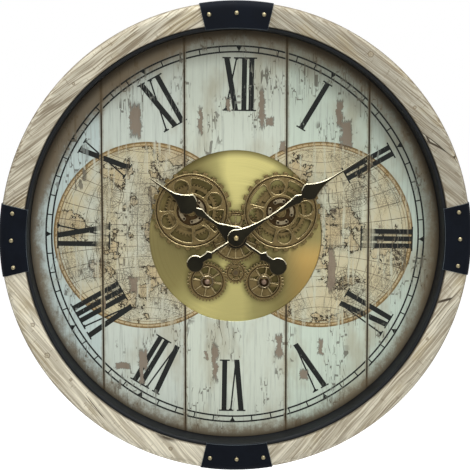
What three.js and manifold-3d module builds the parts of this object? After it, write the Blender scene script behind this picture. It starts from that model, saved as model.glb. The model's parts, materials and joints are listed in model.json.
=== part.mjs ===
// Gear wall clock, 600 mm across: a ring of four wooden boards held by riveted steel straps on a
// black drum, a planked dial, a brass plate with a train of open gears turned by a small geared
// motor, and a quartz movement with two spade hands.
//
// Millimetres, +Z up. The wall is the plane y = 0, the hands turn about the Y axis and the front
// faces -Y. Depths are given as distances from the wall. Angles of hands run clockwise from 12 as
// seen from the front, and angles of gears run anticlockwise from +X as seen from the front.

import * as THREE from 'three';
import { mergeVertices } from 'three/addons/utils/BufferGeometryUtils.js';
import Module from 'manifold-3d';

const wasm = await Module();
wasm.setup();

// Clearances
const GAP = 0.3;
const RUNNING_GAP = 0.3;
const CUT_MARGIN = 1;

// Facets in a full turn
const RING_FACETS = 64;
const PLATE_FACETS = 48;
const HUB_FACETS = 18;
const PIN_FACETS = 10;
const RIVET_FACETS = 6;
const CURVE_STEPS = 4;
const ARC_STEPS = 3;

// Drum
const DRUM_INNER_R = 268.2;
const DRUM_WALL = 4.5;
const DRUM_LIP_DROP = 4;
const DRUM_LIP_BEVEL = 1.2;
const DRUM_FLANGE_INSET = 7.5;
const DRUM_FLANGE_THICK = 3;
const SPACER_WIDTH = 9.9;

// Wooden ring
const WOOD_WIDTH = 29.5;
const WOOD_HEIGHT = 70;
const WOOD_ROUND_R = 9;
const WOOD_INNER_BEVEL = 1;
const BOARD_COUNT = 4;
const BOARD_NAMES = ['top_right', 'bottom_right', 'bottom_left', 'top_left'];

// Straps and their rivets
const STRAP_THICK = 1.2;
const STRAP_INNER_HALF = 39.8;
const STRAP_OUTER_HALF = 47.9;
const STRAP_LIP_CLEARANCE = 0.8;
const STRAP_TAPER_REACH = 10;
const STRAP_NAMES = ['top', 'right', 'bottom', 'left'];
const RIVET_PITCH = 34.7;
const RIVET_INSET = 14.6;
const RIVET_HEAD_R = 2.8;
const RIVET_HEAD_HEIGHT = 1.7;
const RIVET_SHANK_R = 1.5;
const RIVET_SHANK_LENGTH = 12;

// Dial board
const DIAL_BACK = 26;
const DIAL_THICK = 4;
const DIAL_WINDOW_R = 113;
const PLANK_EDGES = [-174.2, -66.5, 66.5, 174.2];
const GROOVE_HALF = 1;
const GROOVE_DEPTH = 1;
const GROOVE_OVERRUN = 20;

// Brass plate
const PLATE_THICK = 1.5;
const PLATE_OVERLAP = 8;

// Back panel, battery door and hanger
const PANEL_THICK = 4;
const ACCESS_LEFT = -33;
const ACCESS_RIGHT = 55;
const ACCESS_BOTTOM = 8;
const ACCESS_TOP = 67;
const ACCESS_CORNER_R = 4;
const DOOR_LEDGE = 3;
const DOOR_THICK = 2.6;
const DOOR_GRIP_R = 9;
const HANGER_INSET = 53.9;
const HANGER_WIDTH = 64;
const HANGER_HEIGHT = 20;
const HANGER_THICK = 1.5;
const HANGER_POCKET_WIDTH = 30;
const HANGER_POCKET_HEIGHT = 15;
const KEYHOLE_R = 4.5;
const KEYHOLE_SLOT_HALF = 2.2;
const KEYHOLE_SLOT_LENGTH = 9;
const HANGER_SCREW_PITCH = 48;
const HANGER_SCREW_R = 1.2;
const HANGER_SCREW_HEAD_R = 2.6;
const HANGER_SCREW_HEAD_HEIGHT = 1;

// Quartz movement
const MOVEMENT_HALF_WIDTH = 30;
const MOVEMENT_BOTTOM = -25;
const MOVEMENT_DEPTH = 17;
const MOVEMENT_WALL = 1.5;
const BUSHING_R = 4;
const BUSHING_FRONT = 36;
const HOUR_TUBE_R = 2.6;
const HOUR_TUBE_BORE_R = 2.1;
const ARBOR_R = 1.8;
const MOTION_SMALL_TEETH = 8;
const HOUR_WHEEL_TEETH = 32;
const MOTION_LARGE_TEETH = 24;
const HOUR_MODULE = 1.0;
const MOTION_WHEEL_THICK = 2;
const HOUR_WHEEL_BACK = 18.5;
const MOTION_WHEEL_BACK = 14.5;
const MOTION_BACKLASH = 0.6;
const ARBOR_PIVOT_DEPTH = 4;
const KNOB_R = 6;
const KNOB_THICK = 2;
const KNOB_TEETH = 16;
const KNOB_TOOTH_DEPTH = 0.5;
const KNOB_TIP_HALF_ANGLE = 5;
const KNOB_ROOT_HALF_ANGLE = 8;
const NUT_FLANGE_R = 9.5;
const NUT_HEX_R = 7.4;
const NUT_FLANGE_THICK = 1;
const NUT_HEIGHT = 3.4;

// AA cells
const CELL_R = 7.25;
const CELL_LENGTH = 49;
const CELL_NUB_R = 2.7;
const CELL_NUB_HEIGHT = 1.2;

// Hands
const HOUR_HAND_BACK = 43.5;
const MINUTE_HAND_BACK = 48;
const HAND_THICK = 1.8;
const HAND_COLLET_R = 6;
const HAND_COLLET_HEIGHT = 1.8;
const CAP_NUT_R = 3;
const CAP_NUT_HEIGHT = 3.6;
const MINUTE_ANGLE = 57.9;
const HOURS_SHOWN = 10;
const MINUTE_HAND = {
  tip: 205, tipHalf: 0.6, needleStart: 148, needleHalf: 1.4, leafAt: 114, leafHalf: 11.7,
  notchAt: 101.5, notchHalf: 3.2, collarAt: 94.5, collarHalf: 6.4, waistAt: 50, waistHalf: 1.7,
  hubR: 11.5, stemHalf: 1.7, knotAt: 41, knotHalf: 4.8, neckHalf: 2.6, ballAt: 62.8, ballR: 11.2,
};
const HOUR_HAND = {
  tip: 137, tipHalf: 0.6, needleStart: 109, needleHalf: 1.7, leafAt: 78, leafHalf: 14.8,
  notchAt: 64, notchHalf: 3.6, collarAt: 57, collarHalf: 5.9, waistAt: 34, waistHalf: 2.5,
  hubR: 15, stemHalf: 1.9, knotAt: 43, knotHalf: 6, neckHalf: 2.6, ballAt: 66.7, ballR: 11.7,
};

// Fine gear train
const TRAIN_MODULE = 1.4;
const TRAIN_BACK = 28.2;
const TRAIN_THICK = 3;
const CENTRE_TEETH = 48;
const DRIVE_TEETH = 48;
const PINION_TEETH = 20;
const LOWER_TEETH = 36;
const LEFT_DRIVE_ANGLE = 149;
const RIGHT_DRIVE_ANGLE = 29;
const LOWER_LEFT_ANGLE = 197.5;
const LOWER_RIGHT_ANGLE = 341.5;
const TOOTH_ADDENDUM = 1;
const TOOTH_DEDENDUM = 1.25;
const TOOTH_SLOPE = 20;
const TOOTH_BACKLASH = 0.3;
const SLEEVE_R = 7.5;
const SLEEVE_SHOULDER_R = 9.5;
const CENTRE_BOSS_R = 15;
const CENTRE_BOSS_WALL = 4;
const CENTRE_BOSS_HEIGHT = 1.5;
const CENTRE_WINDOWS = { count: 8, hubWeb: 3, rim: 6, spokeHalfAngle: 5 };
const DRIVE_HUB_R = 8;
const DRIVE_WINDOWS = { count: 6, hubWeb: 4, rim: 6, spokeHalfAngle: 6 };
const LOWER_COLLAR_R = 9;
const LOWER_COLLAR_BORE_R = 5.4;
const LOWER_COLLAR_HEIGHT = 2.8;
const LOWER_WINDOWS = { count: 8, hubWeb: 1.5, rim: 5.5, spokeHalfAngle: 6 };
const PINION_HOLES = 6;
const PINION_HOLE_R = 1.3;

// Large wheels
const WHEEL_BACK = 33.5;
const WHEEL_THICK = 4;
const WHEEL_TEETH = 24;
const WHEEL_TIP_SHARE = 0.22;
const WHEEL_ROOT_SHARE = 0.29;
const WHEEL_TIP_R = 52.2;
const WHEEL_TOOTH_HEIGHT = 4;
const WHEEL_TOOTH_THICK = 2.6;
const WHEEL_TOOTH_LEDGE = 0.4;
const WHEEL_RIM_INNER_R = 43;
const WHEEL_HUB_R = 22.8;
const WHEEL_HUB_WALL = 3.3;
const WHEEL_HOLE_R = 9;
const WHEEL_HOLE_CIRCLE_R = 32.5;
const WHEEL_WINDOW_HALF_ANGLE = 22.5;
const WHEEL_HUB_RECESS = 2.4;
const WHEEL_BOSS_R = 7;
const LEFT_WHEEL_TURN = -24;
const RIGHT_WHEEL_TURN = -8;
const HUB_PLATE_THICK = 0.8;
const HUB_LINK_HEIGHT = 0.6;
const HUB_LINK_HALF = 3;
const HUB_SCREW_R = 1.8;
const HUB_SCREW_HEIGHT = 1.1;
const HUB_SCREW_CIRCLE_R = 14.2;
const HUB_SCREW_SPREAD = 22.5;

// Axles
const AXLE_R = 3;
const AXLE_SHOULDER_R = 6;
const AXLE_CAP_R = 5.4;
const AXLE_CAP_HEIGHT = 2.6;
const AXLE_RIVET_R = 4;
const AXLE_RIVET_HEIGHT = 1.2;
const LOWER_CAP_R = 4.2;

// Geared motor and its battery box
const MOTOR_HALF_WIDTH = 18;
const MOTOR_HALF_HEIGHT = 14.5;
const MOTOR_DEPTH = 14;
const MOTOR_NOSE_R = 4;
const MOTOR_SHAFT_R = 2;
const MOTOR_SHAFT_CAP_R = 3.2;
const MOTOR_SHAFT_CAP_HEIGHT = 1;
const BOX_LEFT = 34.5;
const BOX_WIDTH = 18;
const BOX_BOTTOM = 9;
const BOX_HEIGHT = 57;
const BOX_DEPTH = 17;
const BOX_BACK = 5.2;
const BOX_WALL = 1.2;
const SWITCH_TRAVEL = 4;
const SWITCH_STEM_HALF = 1.2;
const SWITCH_CAP_HALF = 2.4;
const SWITCH_HALF_HEIGHT = 1;
const SWITCH_CAP_THICK = 1.3;
const SWITCH_SLOT_DEPTH = 3;
const WIRE_R = 1.2;
const WIRE_HEIGHT = 15;
const WIRE_STEPS = 14;

// Values worked out from the dimensions above
const drumOuterR = DRUM_INNER_R + DRUM_WALL;
const drumFront = WOOD_HEIGHT - DRUM_LIP_DROP;
const spacerOuterR = DRUM_INNER_R - GAP;
const spacerInnerR = spacerOuterR - SPACER_WIDTH;
const woodInnerR = drumOuterR + GAP;
const woodOuterR = woodInnerR + WOOD_WIDTH;
const drumFlangeR = woodOuterR - DRUM_FLANGE_INSET;
const rivetCircleR = woodInnerR + RIVET_INSET;
const woodBack = DRUM_FLANGE_THICK + GAP;
const dialR = DRUM_INNER_R - GAP;
const dialFront = DIAL_BACK + DIAL_THICK;
const plateFront = DIAL_BACK - GAP;
const plateBack = plateFront - PLATE_THICK;
const plateR = DIAL_WINDOW_R + PLATE_OVERLAP;
const panelR = DRUM_INNER_R - GAP;
const hangerZ = panelR - HANGER_INSET;
const movementFront = plateBack - GAP;
const movementBack = movementFront - MOVEMENT_DEPTH;
const trainFront = TRAIN_BACK + TRAIN_THICK;
const shoulderTop = TRAIN_BACK - GAP;
const sleeveTop = trainFront + GAP;
const driveR = (TRAIN_MODULE * DRIVE_TEETH) / 2;
const centreR = (TRAIN_MODULE * CENTRE_TEETH) / 2;
const pinionR = (TRAIN_MODULE * PINION_TEETH) / 2;
const lowerR = (TRAIN_MODULE * LOWER_TEETH) / 2;
const pinionZ = -(centreR + pinionR);
const motionModule = (HOUR_MODULE * (HOUR_WHEEL_TEETH + MOTION_SMALL_TEETH))
  / (MOTION_LARGE_TEETH + MOTION_SMALL_TEETH);
const motionZ = (HOUR_MODULE * (HOUR_WHEEL_TEETH + MOTION_SMALL_TEETH)) / 2;
const motionTipR = motionModule * (MOTION_LARGE_TEETH / 2 + TOOTH_ADDENDUM);
const cellRibZ = motionZ + motionTipR + 2 * GAP;
const movementTop = cellRibZ + 2 * (CELL_R + GAP + MOVEMENT_WALL);
const wheelFront = WHEEL_BACK + WHEEL_THICK;
const hourAngle = (HOURS_SHOWN + MINUTE_ANGLE / 360) * (360 / 12);

const FINISH = {
  wood: { color: 0xb3aa97, roughness: 0.8, metalness: 0 },
  black: { color: 0x16191f, roughness: 0.55, metalness: 0.3 },
  strap: { color: 0x181d24, roughness: 0.6, metalness: 0.4 },
  rivet: { color: 0xb9ad8e, roughness: 0.35, metalness: 0.9 },
  dial: { color: 0xc3cbd0, roughness: 0.75, metalness: 0 },
  plate: { color: 0xb9a468, roughness: 0.35, metalness: 0.9 },
  bronze: { color: 0x6f5a37, roughness: 0.5, metalness: 0.8 },
  brass: { color: 0x8a7040, roughness: 0.45, metalness: 0.85 },
  steel: { color: 0xa9a49c, roughness: 0.35, metalness: 0.95 },
  hand: { color: 0x1d1c18, roughness: 0.5, metalness: 0.4 },
  panel: { color: 0x1c1a18, roughness: 0.85, metalness: 0 },
  plastic: { color: 0x202124, roughness: 0.5, metalness: 0 },
  cell: { color: 0x3f5d48, roughness: 0.4, metalness: 0.5 },
};

function radians(degrees) {
  return (degrees * Math.PI) / 180;
}

// Point on a circle, anticlockwise from +X as seen from the front
function polar(radius, degrees) {
  return [radius * Math.cos(radians(degrees)), radius * Math.sin(radians(degrees))];
}

function isRealTriangle(a, b, c) {
  return a !== b && b !== c && c !== a;
}

// Closed three.js geometry to a solid that can be joined and cut
function toSolid(geometry) {
  const bare = geometry.clone();
  bare.deleteAttribute('normal');
  bare.deleteAttribute('uv');
  const merged = mergeVertices(bare, 1e-4);
  const index = merged.index.array;
  const triangles = [];
  for (let i = 0; i < index.length; i += 3) {
    if (isRealTriangle(index[i], index[i + 1], index[i + 2])) {
      triangles.push(index[i], index[i + 1], index[i + 2]);
    }
  }
  return new wasm.Manifold(new wasm.Mesh({
    numProp: 3,
    vertProperties: new Float32Array(merged.attributes.position.array),
    triVerts: new Uint32Array(triangles),
  }));
}

function toGeometry(solid) {
  const data = solid.getMesh();
  const geometry = new THREE.BufferGeometry();
  geometry.setAttribute('position', new THREE.BufferAttribute(data.vertProperties, 3));
  geometry.setIndex(new THREE.BufferAttribute(data.triVerts, 1));
  geometry.computeVertexNormals();
  return geometry;
}

function joined(solids) {
  return solids.reduce((whole, solid) => whole.add(solid));
}

function cutBy(solid, cutters) {
  return cutters.reduce((left, cutter) => left.subtract(cutter), solid);
}

function shapeOf(points) {
  return new THREE.Shape(points.map(([x, z]) => new THREE.Vector2(x, z)));
}

// Flat outline in X and Z, standing between two distances from the wall
function slab(shape, low, high) {
  const geometry = new THREE.ExtrudeGeometry(shape, {
    depth: high - low, bevelEnabled: false, curveSegments: CURVE_STEPS,
  });
  geometry.rotateX(Math.PI / 2);
  geometry.translate(0, -low, 0);
  return toSolid(geometry);
}

// Section of [radius, distance from the wall] turned about the Y axis
function turned(section, facets) {
  const points = section.map(([radius, height]) => new THREE.Vector2(radius, -height));
  if (THREE.ShapeUtils.area(points) < 0) {
    points.reverse();
  }
  const first = points[0];
  const last = points[points.length - 1];
  if (first.x > 0 || last.x > 0) {
    points.push(first.clone());
  }
  return toSolid(new THREE.LatheGeometry(points, facets));
}

function disc(radius, low, high, facets) {
  return turned([[0, low], [radius, low], [radius, high], [0, high]], facets);
}

function ring(inner, outer, low, high, facets) {
  return turned([[inner, low], [outer, low], [outer, high], [inner, high]], facets);
}

// Bore cutter that runs past both faces
function bore(radius, low, high, facets) {
  return disc(radius, low - CUT_MARGIN, high + CUT_MARGIN, facets);
}

function box(left, right, bottom, top, low, high) {
  return slab(shapeOf([[left, bottom], [right, bottom], [right, top], [left, top]]), low, high);
}

function roundedBox(left, right, bottom, top, radius, low, high) {
  const shape = new THREE.Shape();
  shape.absarc(right - radius, top - radius, radius, 0, Math.PI / 2);
  shape.absarc(left + radius, top - radius, radius, Math.PI / 2, Math.PI);
  shape.absarc(left + radius, bottom + radius, radius, Math.PI, Math.PI * 1.5);
  shape.absarc(right - radius, bottom + radius, radius, Math.PI * 1.5, Math.PI * 2);
  return slab(shape, low, high);
}

// Copy of a solid turned by an angle, anticlockwise as seen from the front
function spun(solid, degrees) {
  return solid.rotate([0, -degrees, 0]);
}

function movedTo(solid, [x, z]) {
  return solid.translate([x, 0, z]);
}

function spread(count, makeCopy) {
  return Array.from({ length: count }, (unused, i) => makeCopy(i, (360 / count) * i));
}

function piece(name, solid, finish) {
  const mesh = new THREE.Mesh(toGeometry(solid), new THREE.MeshStandardMaterial(finish));
  mesh.name = name;
  return mesh;
}

function place(mesh, [x, z], degrees) {
  mesh.position.set(x, 0, z);
  mesh.rotation.y = radians(-degrees);
  return mesh;
}

// Drum: a round wall behind the wood and a flange that the wood stands on
function makeDrum() {
  const section = [
    [DRUM_INNER_R, 0],
    [drumFlangeR, 0],
    [drumFlangeR, DRUM_FLANGE_THICK],
    [drumOuterR, DRUM_FLANGE_THICK],
    [drumOuterR, drumFront],
    [DRUM_INNER_R + DRUM_LIP_BEVEL, drumFront],
    [DRUM_INNER_R, drumFront - DRUM_LIP_BEVEL],
  ];
  return piece('case_drum', turned(section, RING_FACETS), FINISH.black);
}

// Ring inside the drum that the dial rests on in front and the panel behind
function makeDialSpacer() {
  const spacer = ring(
    spacerInnerR,
    spacerOuterR,
    PANEL_THICK + GAP,
    DIAL_BACK - GAP,
    RING_FACETS,
  );
  return piece('dial_spacer', spacer, FINISH.black);
}

// Quarter arc of a section from the front face to the outer side
function roundOver(arcR, arcHeight, radius) {
  const points = [];
  for (let i = 0; i <= CURVE_STEPS; i += 1) {
    const [across, up] = polar(radius, 90 - (90 / CURVE_STEPS) * i);
    points.push([arcR + across, arcHeight + up]);
  }
  return points;
}

function rivetPlaces() {
  return [-RIVET_PITCH, 0, RIVET_PITCH].map((offset) => [
    offset,
    Math.sqrt(rivetCircleR ** 2 - offset ** 2),
  ]);
}

function makeWoodRing() {
  const roundCentreR = woodOuterR - WOOD_ROUND_R;
  const roundCentreHeight = WOOD_HEIGHT - WOOD_ROUND_R;
  const section = [
    [woodInnerR, woodBack],
    [woodInnerR, WOOD_HEIGHT - WOOD_INNER_BEVEL],
    [woodInnerR + WOOD_INNER_BEVEL, WOOD_HEIGHT],
    ...roundOver(roundCentreR, roundCentreHeight, WOOD_ROUND_R),
    [woodOuterR, woodBack],
  ];
  const whole = turned(section, RING_FACETS);
  const shankBase = WOOD_HEIGHT - RIVET_SHANK_LENGTH - GAP;
  const hole = bore(RIVET_SHANK_R + GAP, shankBase + CUT_MARGIN, WOOD_HEIGHT, RIVET_FACETS);
  const holes = spread(STRAP_NAMES.length, (i, turn) => rivetPlaces()
    .map((at) => spun(movedTo(hole, at), -turn))).flat();
  return cutBy(whole, holes);
}

// Each board is a quarter of the ring, and its ends meet the next board under a strap
function makeBoards() {
  const whole = makeWoodRing();
  const reach = woodOuterR + CUT_MARGIN;
  const quarter = box(GAP / 2, reach, GAP / 2, reach, 0, WOOD_HEIGHT + CUT_MARGIN);
  return spread(BOARD_COUNT, (i, turn) => piece(
    `wood_board_${BOARD_NAMES[i]}`,
    whole.intersect(spun(quarter, -turn)),
    FINISH.wood,
  ));
}

// Strap: a lip over the drum's edge, a leaf on the front and a leaf down the outer side
function makeStraps() {
  const leafBack = WOOD_HEIGHT + GAP;
  const leafFront = leafBack + STRAP_THICK;
  const sideInnerR = woodOuterR + GAP;
  const lipInnerR = DRUM_INNER_R + GAP;
  const lipBottom = drumFront + STRAP_LIP_CLEARANCE;
  const roundCentreR = woodOuterR - WOOD_ROUND_R;
  const roundCentreHeight = WOOD_HEIGHT - WOOD_ROUND_R;
  const inside = roundOver(roundCentreR, roundCentreHeight, WOOD_ROUND_R + GAP);
  const outside = roundOver(roundCentreR, roundCentreHeight, WOOD_ROUND_R + GAP + STRAP_THICK);
  const section = [
    [lipInnerR, lipBottom],
    [lipInnerR, leafFront],
    ...outside,
    [sideInnerR + STRAP_THICK, woodBack],
    [sideInnerR, woodBack],
    ...inside.reverse(),
    [lipInnerR + STRAP_THICK, leafBack],
    [lipInnerR + STRAP_THICK, lipBottom],
  ];
  const whole = turned(section, RING_FACETS);
  const slope = (STRAP_OUTER_HALF - STRAP_INNER_HALF) / (woodOuterR - lipInnerR);
  const innerZ = lipInnerR - STRAP_TAPER_REACH;
  const outerZ = woodOuterR + STRAP_TAPER_REACH;
  const innerHalf = STRAP_INNER_HALF - slope * STRAP_TAPER_REACH;
  const outerHalf = STRAP_OUTER_HALF + slope * STRAP_TAPER_REACH;
  const wedge = slab(shapeOf([
    [-innerHalf, innerZ], [innerHalf, innerZ], [outerHalf, outerZ], [-outerHalf, outerZ],
  ]), 0, leafFront + CUT_MARGIN);
  const hole = bore(RIVET_SHANK_R + GAP, leafBack, leafFront, RIVET_FACETS);
  const holes = rivetPlaces().map((at) => movedTo(hole, at));
  const strap = cutBy(whole.intersect(wedge), holes);
  return spread(STRAP_NAMES.length, (i, turn) => piece(
    `strap_${STRAP_NAMES[i]}`,
    spun(strap, -turn),
    FINISH.strap,
  ));
}

// Domed head on the strap and a shank into the wood
function makeRivets() {
  const seat = WOOD_HEIGHT + GAP + STRAP_THICK + GAP;
  const rivet = turned([
    [0, WOOD_HEIGHT - RIVET_SHANK_LENGTH],
    [RIVET_SHANK_R, WOOD_HEIGHT - RIVET_SHANK_LENGTH],
    [RIVET_SHANK_R, seat],
    [RIVET_HEAD_R, seat],
    [RIVET_HEAD_R * 0.75, seat + RIVET_HEAD_HEIGHT * 0.7],
    [0, seat + RIVET_HEAD_HEIGHT],
  ], RIVET_FACETS);
  return spread(STRAP_NAMES.length, (i, turn) => rivetPlaces().map((at, n) => piece(
    `rivet_${STRAP_NAMES[i]}_${n + 1}`,
    spun(movedTo(rivet, at), -turn),
    FINISH.rivet,
  ))).flat();
}

function makeDialBoard() {
  const board = disc(dialR, DIAL_BACK, dialFront, RING_FACETS);
  const window = bore(DIAL_WINDOW_R, DIAL_BACK, dialFront, PLATE_FACETS);
  const grooves = PLANK_EDGES.map((x) => {
    const half = GROOVE_HALF * ((GROOVE_DEPTH + CUT_MARGIN) / GROOVE_DEPTH);
    const section = shapeOf([
      [x, GROOVE_DEPTH - dialFront], [x - half, -dialFront - CUT_MARGIN],
      [x + half, -dialFront - CUT_MARGIN],
    ]);
    const reach = dialR + GROOVE_OVERRUN;
    const bar = new THREE.ExtrudeGeometry(section, { depth: 2 * reach, bevelEnabled: false });
    bar.translate(0, 0, -reach);
    return toSolid(bar);
  });
  return piece('dial_board', cutBy(board, [window, ...grooves]), FINISH.dial);
}

// Places of the gears' axes
function trainPlaces() {
  const pinion = [0, pinionZ];
  const [leftX, leftZ] = polar(lowerR + pinionR, LOWER_LEFT_ANGLE);
  const [rightX, rightZ] = polar(lowerR + pinionR, LOWER_RIGHT_ANGLE);
  return {
    centre: [0, 0],
    left: polar(centreR + driveR, LEFT_DRIVE_ANGLE),
    right: polar(centreR + driveR, RIGHT_DRIVE_ANGLE),
    pinion,
    lowerLeft: [leftX, leftZ + pinionZ],
    lowerRight: [rightX, rightZ + pinionZ],
  };
}

const at = trainPlaces();

function makeGearPlate() {
  const plate = disc(plateR, plateBack, plateFront, PLATE_FACETS);
  const axleHole = bore(AXLE_R + GAP, plateBack, plateFront, PIN_FACETS);
  const holes = [at.left, at.right, at.lowerLeft, at.lowerRight].map((p) => movedTo(axleHole, p));
  const bushingHole = bore(BUSHING_R + GAP, plateBack, plateFront, PIN_FACETS);
  const noseHole = movedTo(bore(MOTOR_NOSE_R + GAP, plateBack, plateFront, PIN_FACETS), at.pinion);
  return piece('gear_plate', cutBy(plate, [...holes, bushingHole, noseHole]), FINISH.plate);
}

function makeBackPanel() {
  const panel = disc(panelR, 0, PANEL_THICK, RING_FACETS);
  const access = roundedBox(
    ACCESS_LEFT,
    ACCESS_RIGHT,
    ACCESS_BOTTOM,
    ACCESS_TOP,
    ACCESS_CORNER_R,
    -CUT_MARGIN,
    PANEL_THICK + CUT_MARGIN,
  );
  const rebate = roundedBox(
    ACCESS_LEFT - DOOR_LEDGE,
    ACCESS_RIGHT + DOOR_LEDGE,
    ACCESS_BOTTOM - DOOR_LEDGE,
    ACCESS_TOP + DOOR_LEDGE,
    ACCESS_CORNER_R,
    -CUT_MARGIN,
    DOOR_THICK + GAP,
  );
  const seatHalf = HANGER_WIDTH / 2 + GAP;
  const seatHalfHeight = HANGER_HEIGHT / 2 + GAP;
  const hangerSeat = box(
    -seatHalf,
    seatHalf,
    hangerZ - seatHalfHeight,
    hangerZ + seatHalfHeight,
    -CUT_MARGIN,
    HANGER_THICK + GAP,
  );
  const pocket = box(
    -HANGER_POCKET_WIDTH / 2,
    HANGER_POCKET_WIDTH / 2,
    hangerZ - HANGER_POCKET_HEIGHT / 2,
    hangerZ + HANGER_POCKET_HEIGHT / 2,
    -CUT_MARGIN,
    PANEL_THICK + CUT_MARGIN,
  );
  const screwHole = bore(HANGER_SCREW_R + GAP, 0, PANEL_THICK, RIVET_FACETS);
  const screwHoles = [-1, 1].map((side) => movedTo(
    screwHole,
    [(side * HANGER_SCREW_PITCH) / 2, hangerZ],
  ));
  const cutters = [access, rebate, hangerSeat, pocket, ...screwHoles];
  return piece('back_panel', cutBy(panel, cutters), FINISH.panel);
}

// Lift-off door over the batteries and the setting knob, with a finger notch at its lower edge
function makeBatteryDoor() {
  const margin = DOOR_LEDGE - GAP;
  const door = roundedBox(
    ACCESS_LEFT - margin,
    ACCESS_RIGHT + margin,
    ACCESS_BOTTOM - margin,
    ACCESS_TOP + margin,
    ACCESS_CORNER_R,
    0,
    DOOR_THICK,
  );
  const middleX = (ACCESS_LEFT + ACCESS_RIGHT) / 2;
  const grip = movedTo(bore(DOOR_GRIP_R, 0, DOOR_THICK, HUB_FACETS), [middleX, ACCESS_TOP + margin]);
  return piece('battery_door', cutBy(door, [grip]), FINISH.plastic);
}

function makeHanger() {
  const half = HANGER_WIDTH / 2;
  const plate = roundedBox(
    -half,
    half,
    hangerZ - HANGER_HEIGHT / 2,
    hangerZ + HANGER_HEIGHT / 2,
    ACCESS_CORNER_R,
    0,
    HANGER_THICK,
  );
  const eye = movedTo(bore(KEYHOLE_R, 0, HANGER_THICK, HUB_FACETS), [0, hangerZ - KEYHOLE_R / 2]);
  const slot = box(
    -KEYHOLE_SLOT_HALF,
    KEYHOLE_SLOT_HALF,
    hangerZ - KEYHOLE_R / 2,
    hangerZ - KEYHOLE_R / 2 + KEYHOLE_SLOT_LENGTH,
    -CUT_MARGIN,
    HANGER_THICK + CUT_MARGIN,
  );
  const screwHole = turned([
    [0, -CUT_MARGIN],
    [HANGER_SCREW_HEAD_R + GAP, -CUT_MARGIN],
    [HANGER_SCREW_HEAD_R + GAP, 0],
    [HANGER_SCREW_R + GAP, HANGER_SCREW_HEAD_HEIGHT + GAP / 2],
    [HANGER_SCREW_R + GAP, HANGER_THICK + CUT_MARGIN],
    [0, HANGER_THICK + CUT_MARGIN],
  ], RIVET_FACETS);
  const screwHoles = [-1, 1].map((side) => movedTo(
    screwHole,
    [(side * HANGER_SCREW_PITCH) / 2, hangerZ],
  ));
  return piece('keyhole_hanger', cutBy(plate, [eye, slot, ...screwHoles]), FINISH.steel);
}

function makeHangerScrews() {
  const screw = turned([
    [0, 0],
    [HANGER_SCREW_HEAD_R, 0],
    [HANGER_SCREW_R, HANGER_SCREW_HEAD_HEIGHT],
    [HANGER_SCREW_R, PANEL_THICK],
    [0, PANEL_THICK],
  ], RIVET_FACETS);
  return ['left', 'right'].map((name, i) => piece(
    `hanger_screw_${name}`,
    movedTo(screw, [(i - 0.5) * HANGER_SCREW_PITCH, hangerZ]),
    FINISH.steel,
  ));
}

// Outline with straight-sided teeth, one tooth centred on +X
function toothedOutline(teeth, tipR, rootR, tipHalfAngle, rootHalfAngle) {
  const pitch = 360 / teeth;
  const points = [];
  for (let i = 0; i < teeth; i += 1) {
    const middle = pitch * i;
    points.push(polar(rootR, middle - rootHalfAngle));
    points.push(polar(tipR, middle - tipHalfAngle));
    points.push(polar(tipR, middle + tipHalfAngle));
    points.push(polar(rootR, middle + rootHalfAngle));
  }
  return shapeOf(points);
}

function degreesOf(arc, radius) {
  return ((arc / radius) * 180) / Math.PI;
}

function meshingOutline(teeth, module, backlash = TOOTH_BACKLASH) {
  const pitchR = (module * teeth) / 2;
  const tipR = pitchR + module * TOOTH_ADDENDUM;
  const rootR = pitchR - module * TOOTH_DEDENDUM;
  const half = (Math.PI * module) / 4 - backlash / 2;
  const slope = Math.tan(radians(TOOTH_SLOPE));
  const tipHalf = half - module * TOOTH_ADDENDUM * slope;
  const rootHalf = half + module * TOOTH_DEDENDUM * slope;
  return toothedOutline(
    teeth,
    tipR,
    rootR,
    degreesOf(tipHalf, tipR),
    degreesOf(rootHalf, rootR),
  );
}

// Turn of a driven gear that puts one of its gaps on a tooth of the gear it meshes with
function meshTurn(driverTurn, driverTeeth, teeth, direction) {
  return direction + 180 - 180 / teeth + ((direction - driverTurn) * driverTeeth) / teeth;
}

function sector(inner, outer, halfAngle) {
  return shapeOf([
    ...arcPoints(0, outer, -halfAngle, halfAngle, ARC_STEPS),
    ...arcPoints(0, inner, halfAngle, -halfAngle, ARC_STEPS),
  ]);
}

// Cutters for a circle of windows between a hub and a rim
function windowCutters(windows, hubR, gearR) {
  const { count, hubWeb, rim, spokeHalfAngle } = windows;
  const cutter = slab(
    sector(hubR + hubWeb, gearR - rim, 180 / count - spokeHalfAngle),
    TRAIN_BACK - CUT_MARGIN,
    trainFront + CUT_MARGIN,
  );
  return spread(count, (i, turn) => spun(cutter, turn));
}

function makeCentreGear() {
  const body = slab(meshingOutline(CENTRE_TEETH, TRAIN_MODULE), TRAIN_BACK, trainFront);
  const bossTop = trainFront + CENTRE_BOSS_HEIGHT;
  const bossInner = CENTRE_BOSS_R - CENTRE_BOSS_WALL;
  const boss = ring(bossInner, CENTRE_BOSS_R, TRAIN_BACK, bossTop, HUB_FACETS);
  const windows = windowCutters(CENTRE_WINDOWS, CENTRE_BOSS_R, centreR);
  const hole = bore(SLEEVE_R + RUNNING_GAP, TRAIN_BACK, bossTop, HUB_FACETS);
  return piece('centre_gear', cutBy(joined([body, boss]), [...windows, hole]), FINISH.bronze);
}

function makeDriveGear(name) {
  const body = slab(meshingOutline(DRIVE_TEETH, TRAIN_MODULE), TRAIN_BACK, trainFront);
  const hub = disc(DRIVE_HUB_R, TRAIN_BACK, WHEEL_BACK - GAP, HUB_FACETS);
  const windows = windowCutters(DRIVE_WINDOWS, DRIVE_HUB_R, driveR);
  const hole = bore(AXLE_R + RUNNING_GAP, TRAIN_BACK, WHEEL_BACK, PIN_FACETS);
  return piece(name, cutBy(joined([body, hub]), [...windows, hole]), FINISH.bronze);
}

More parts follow.
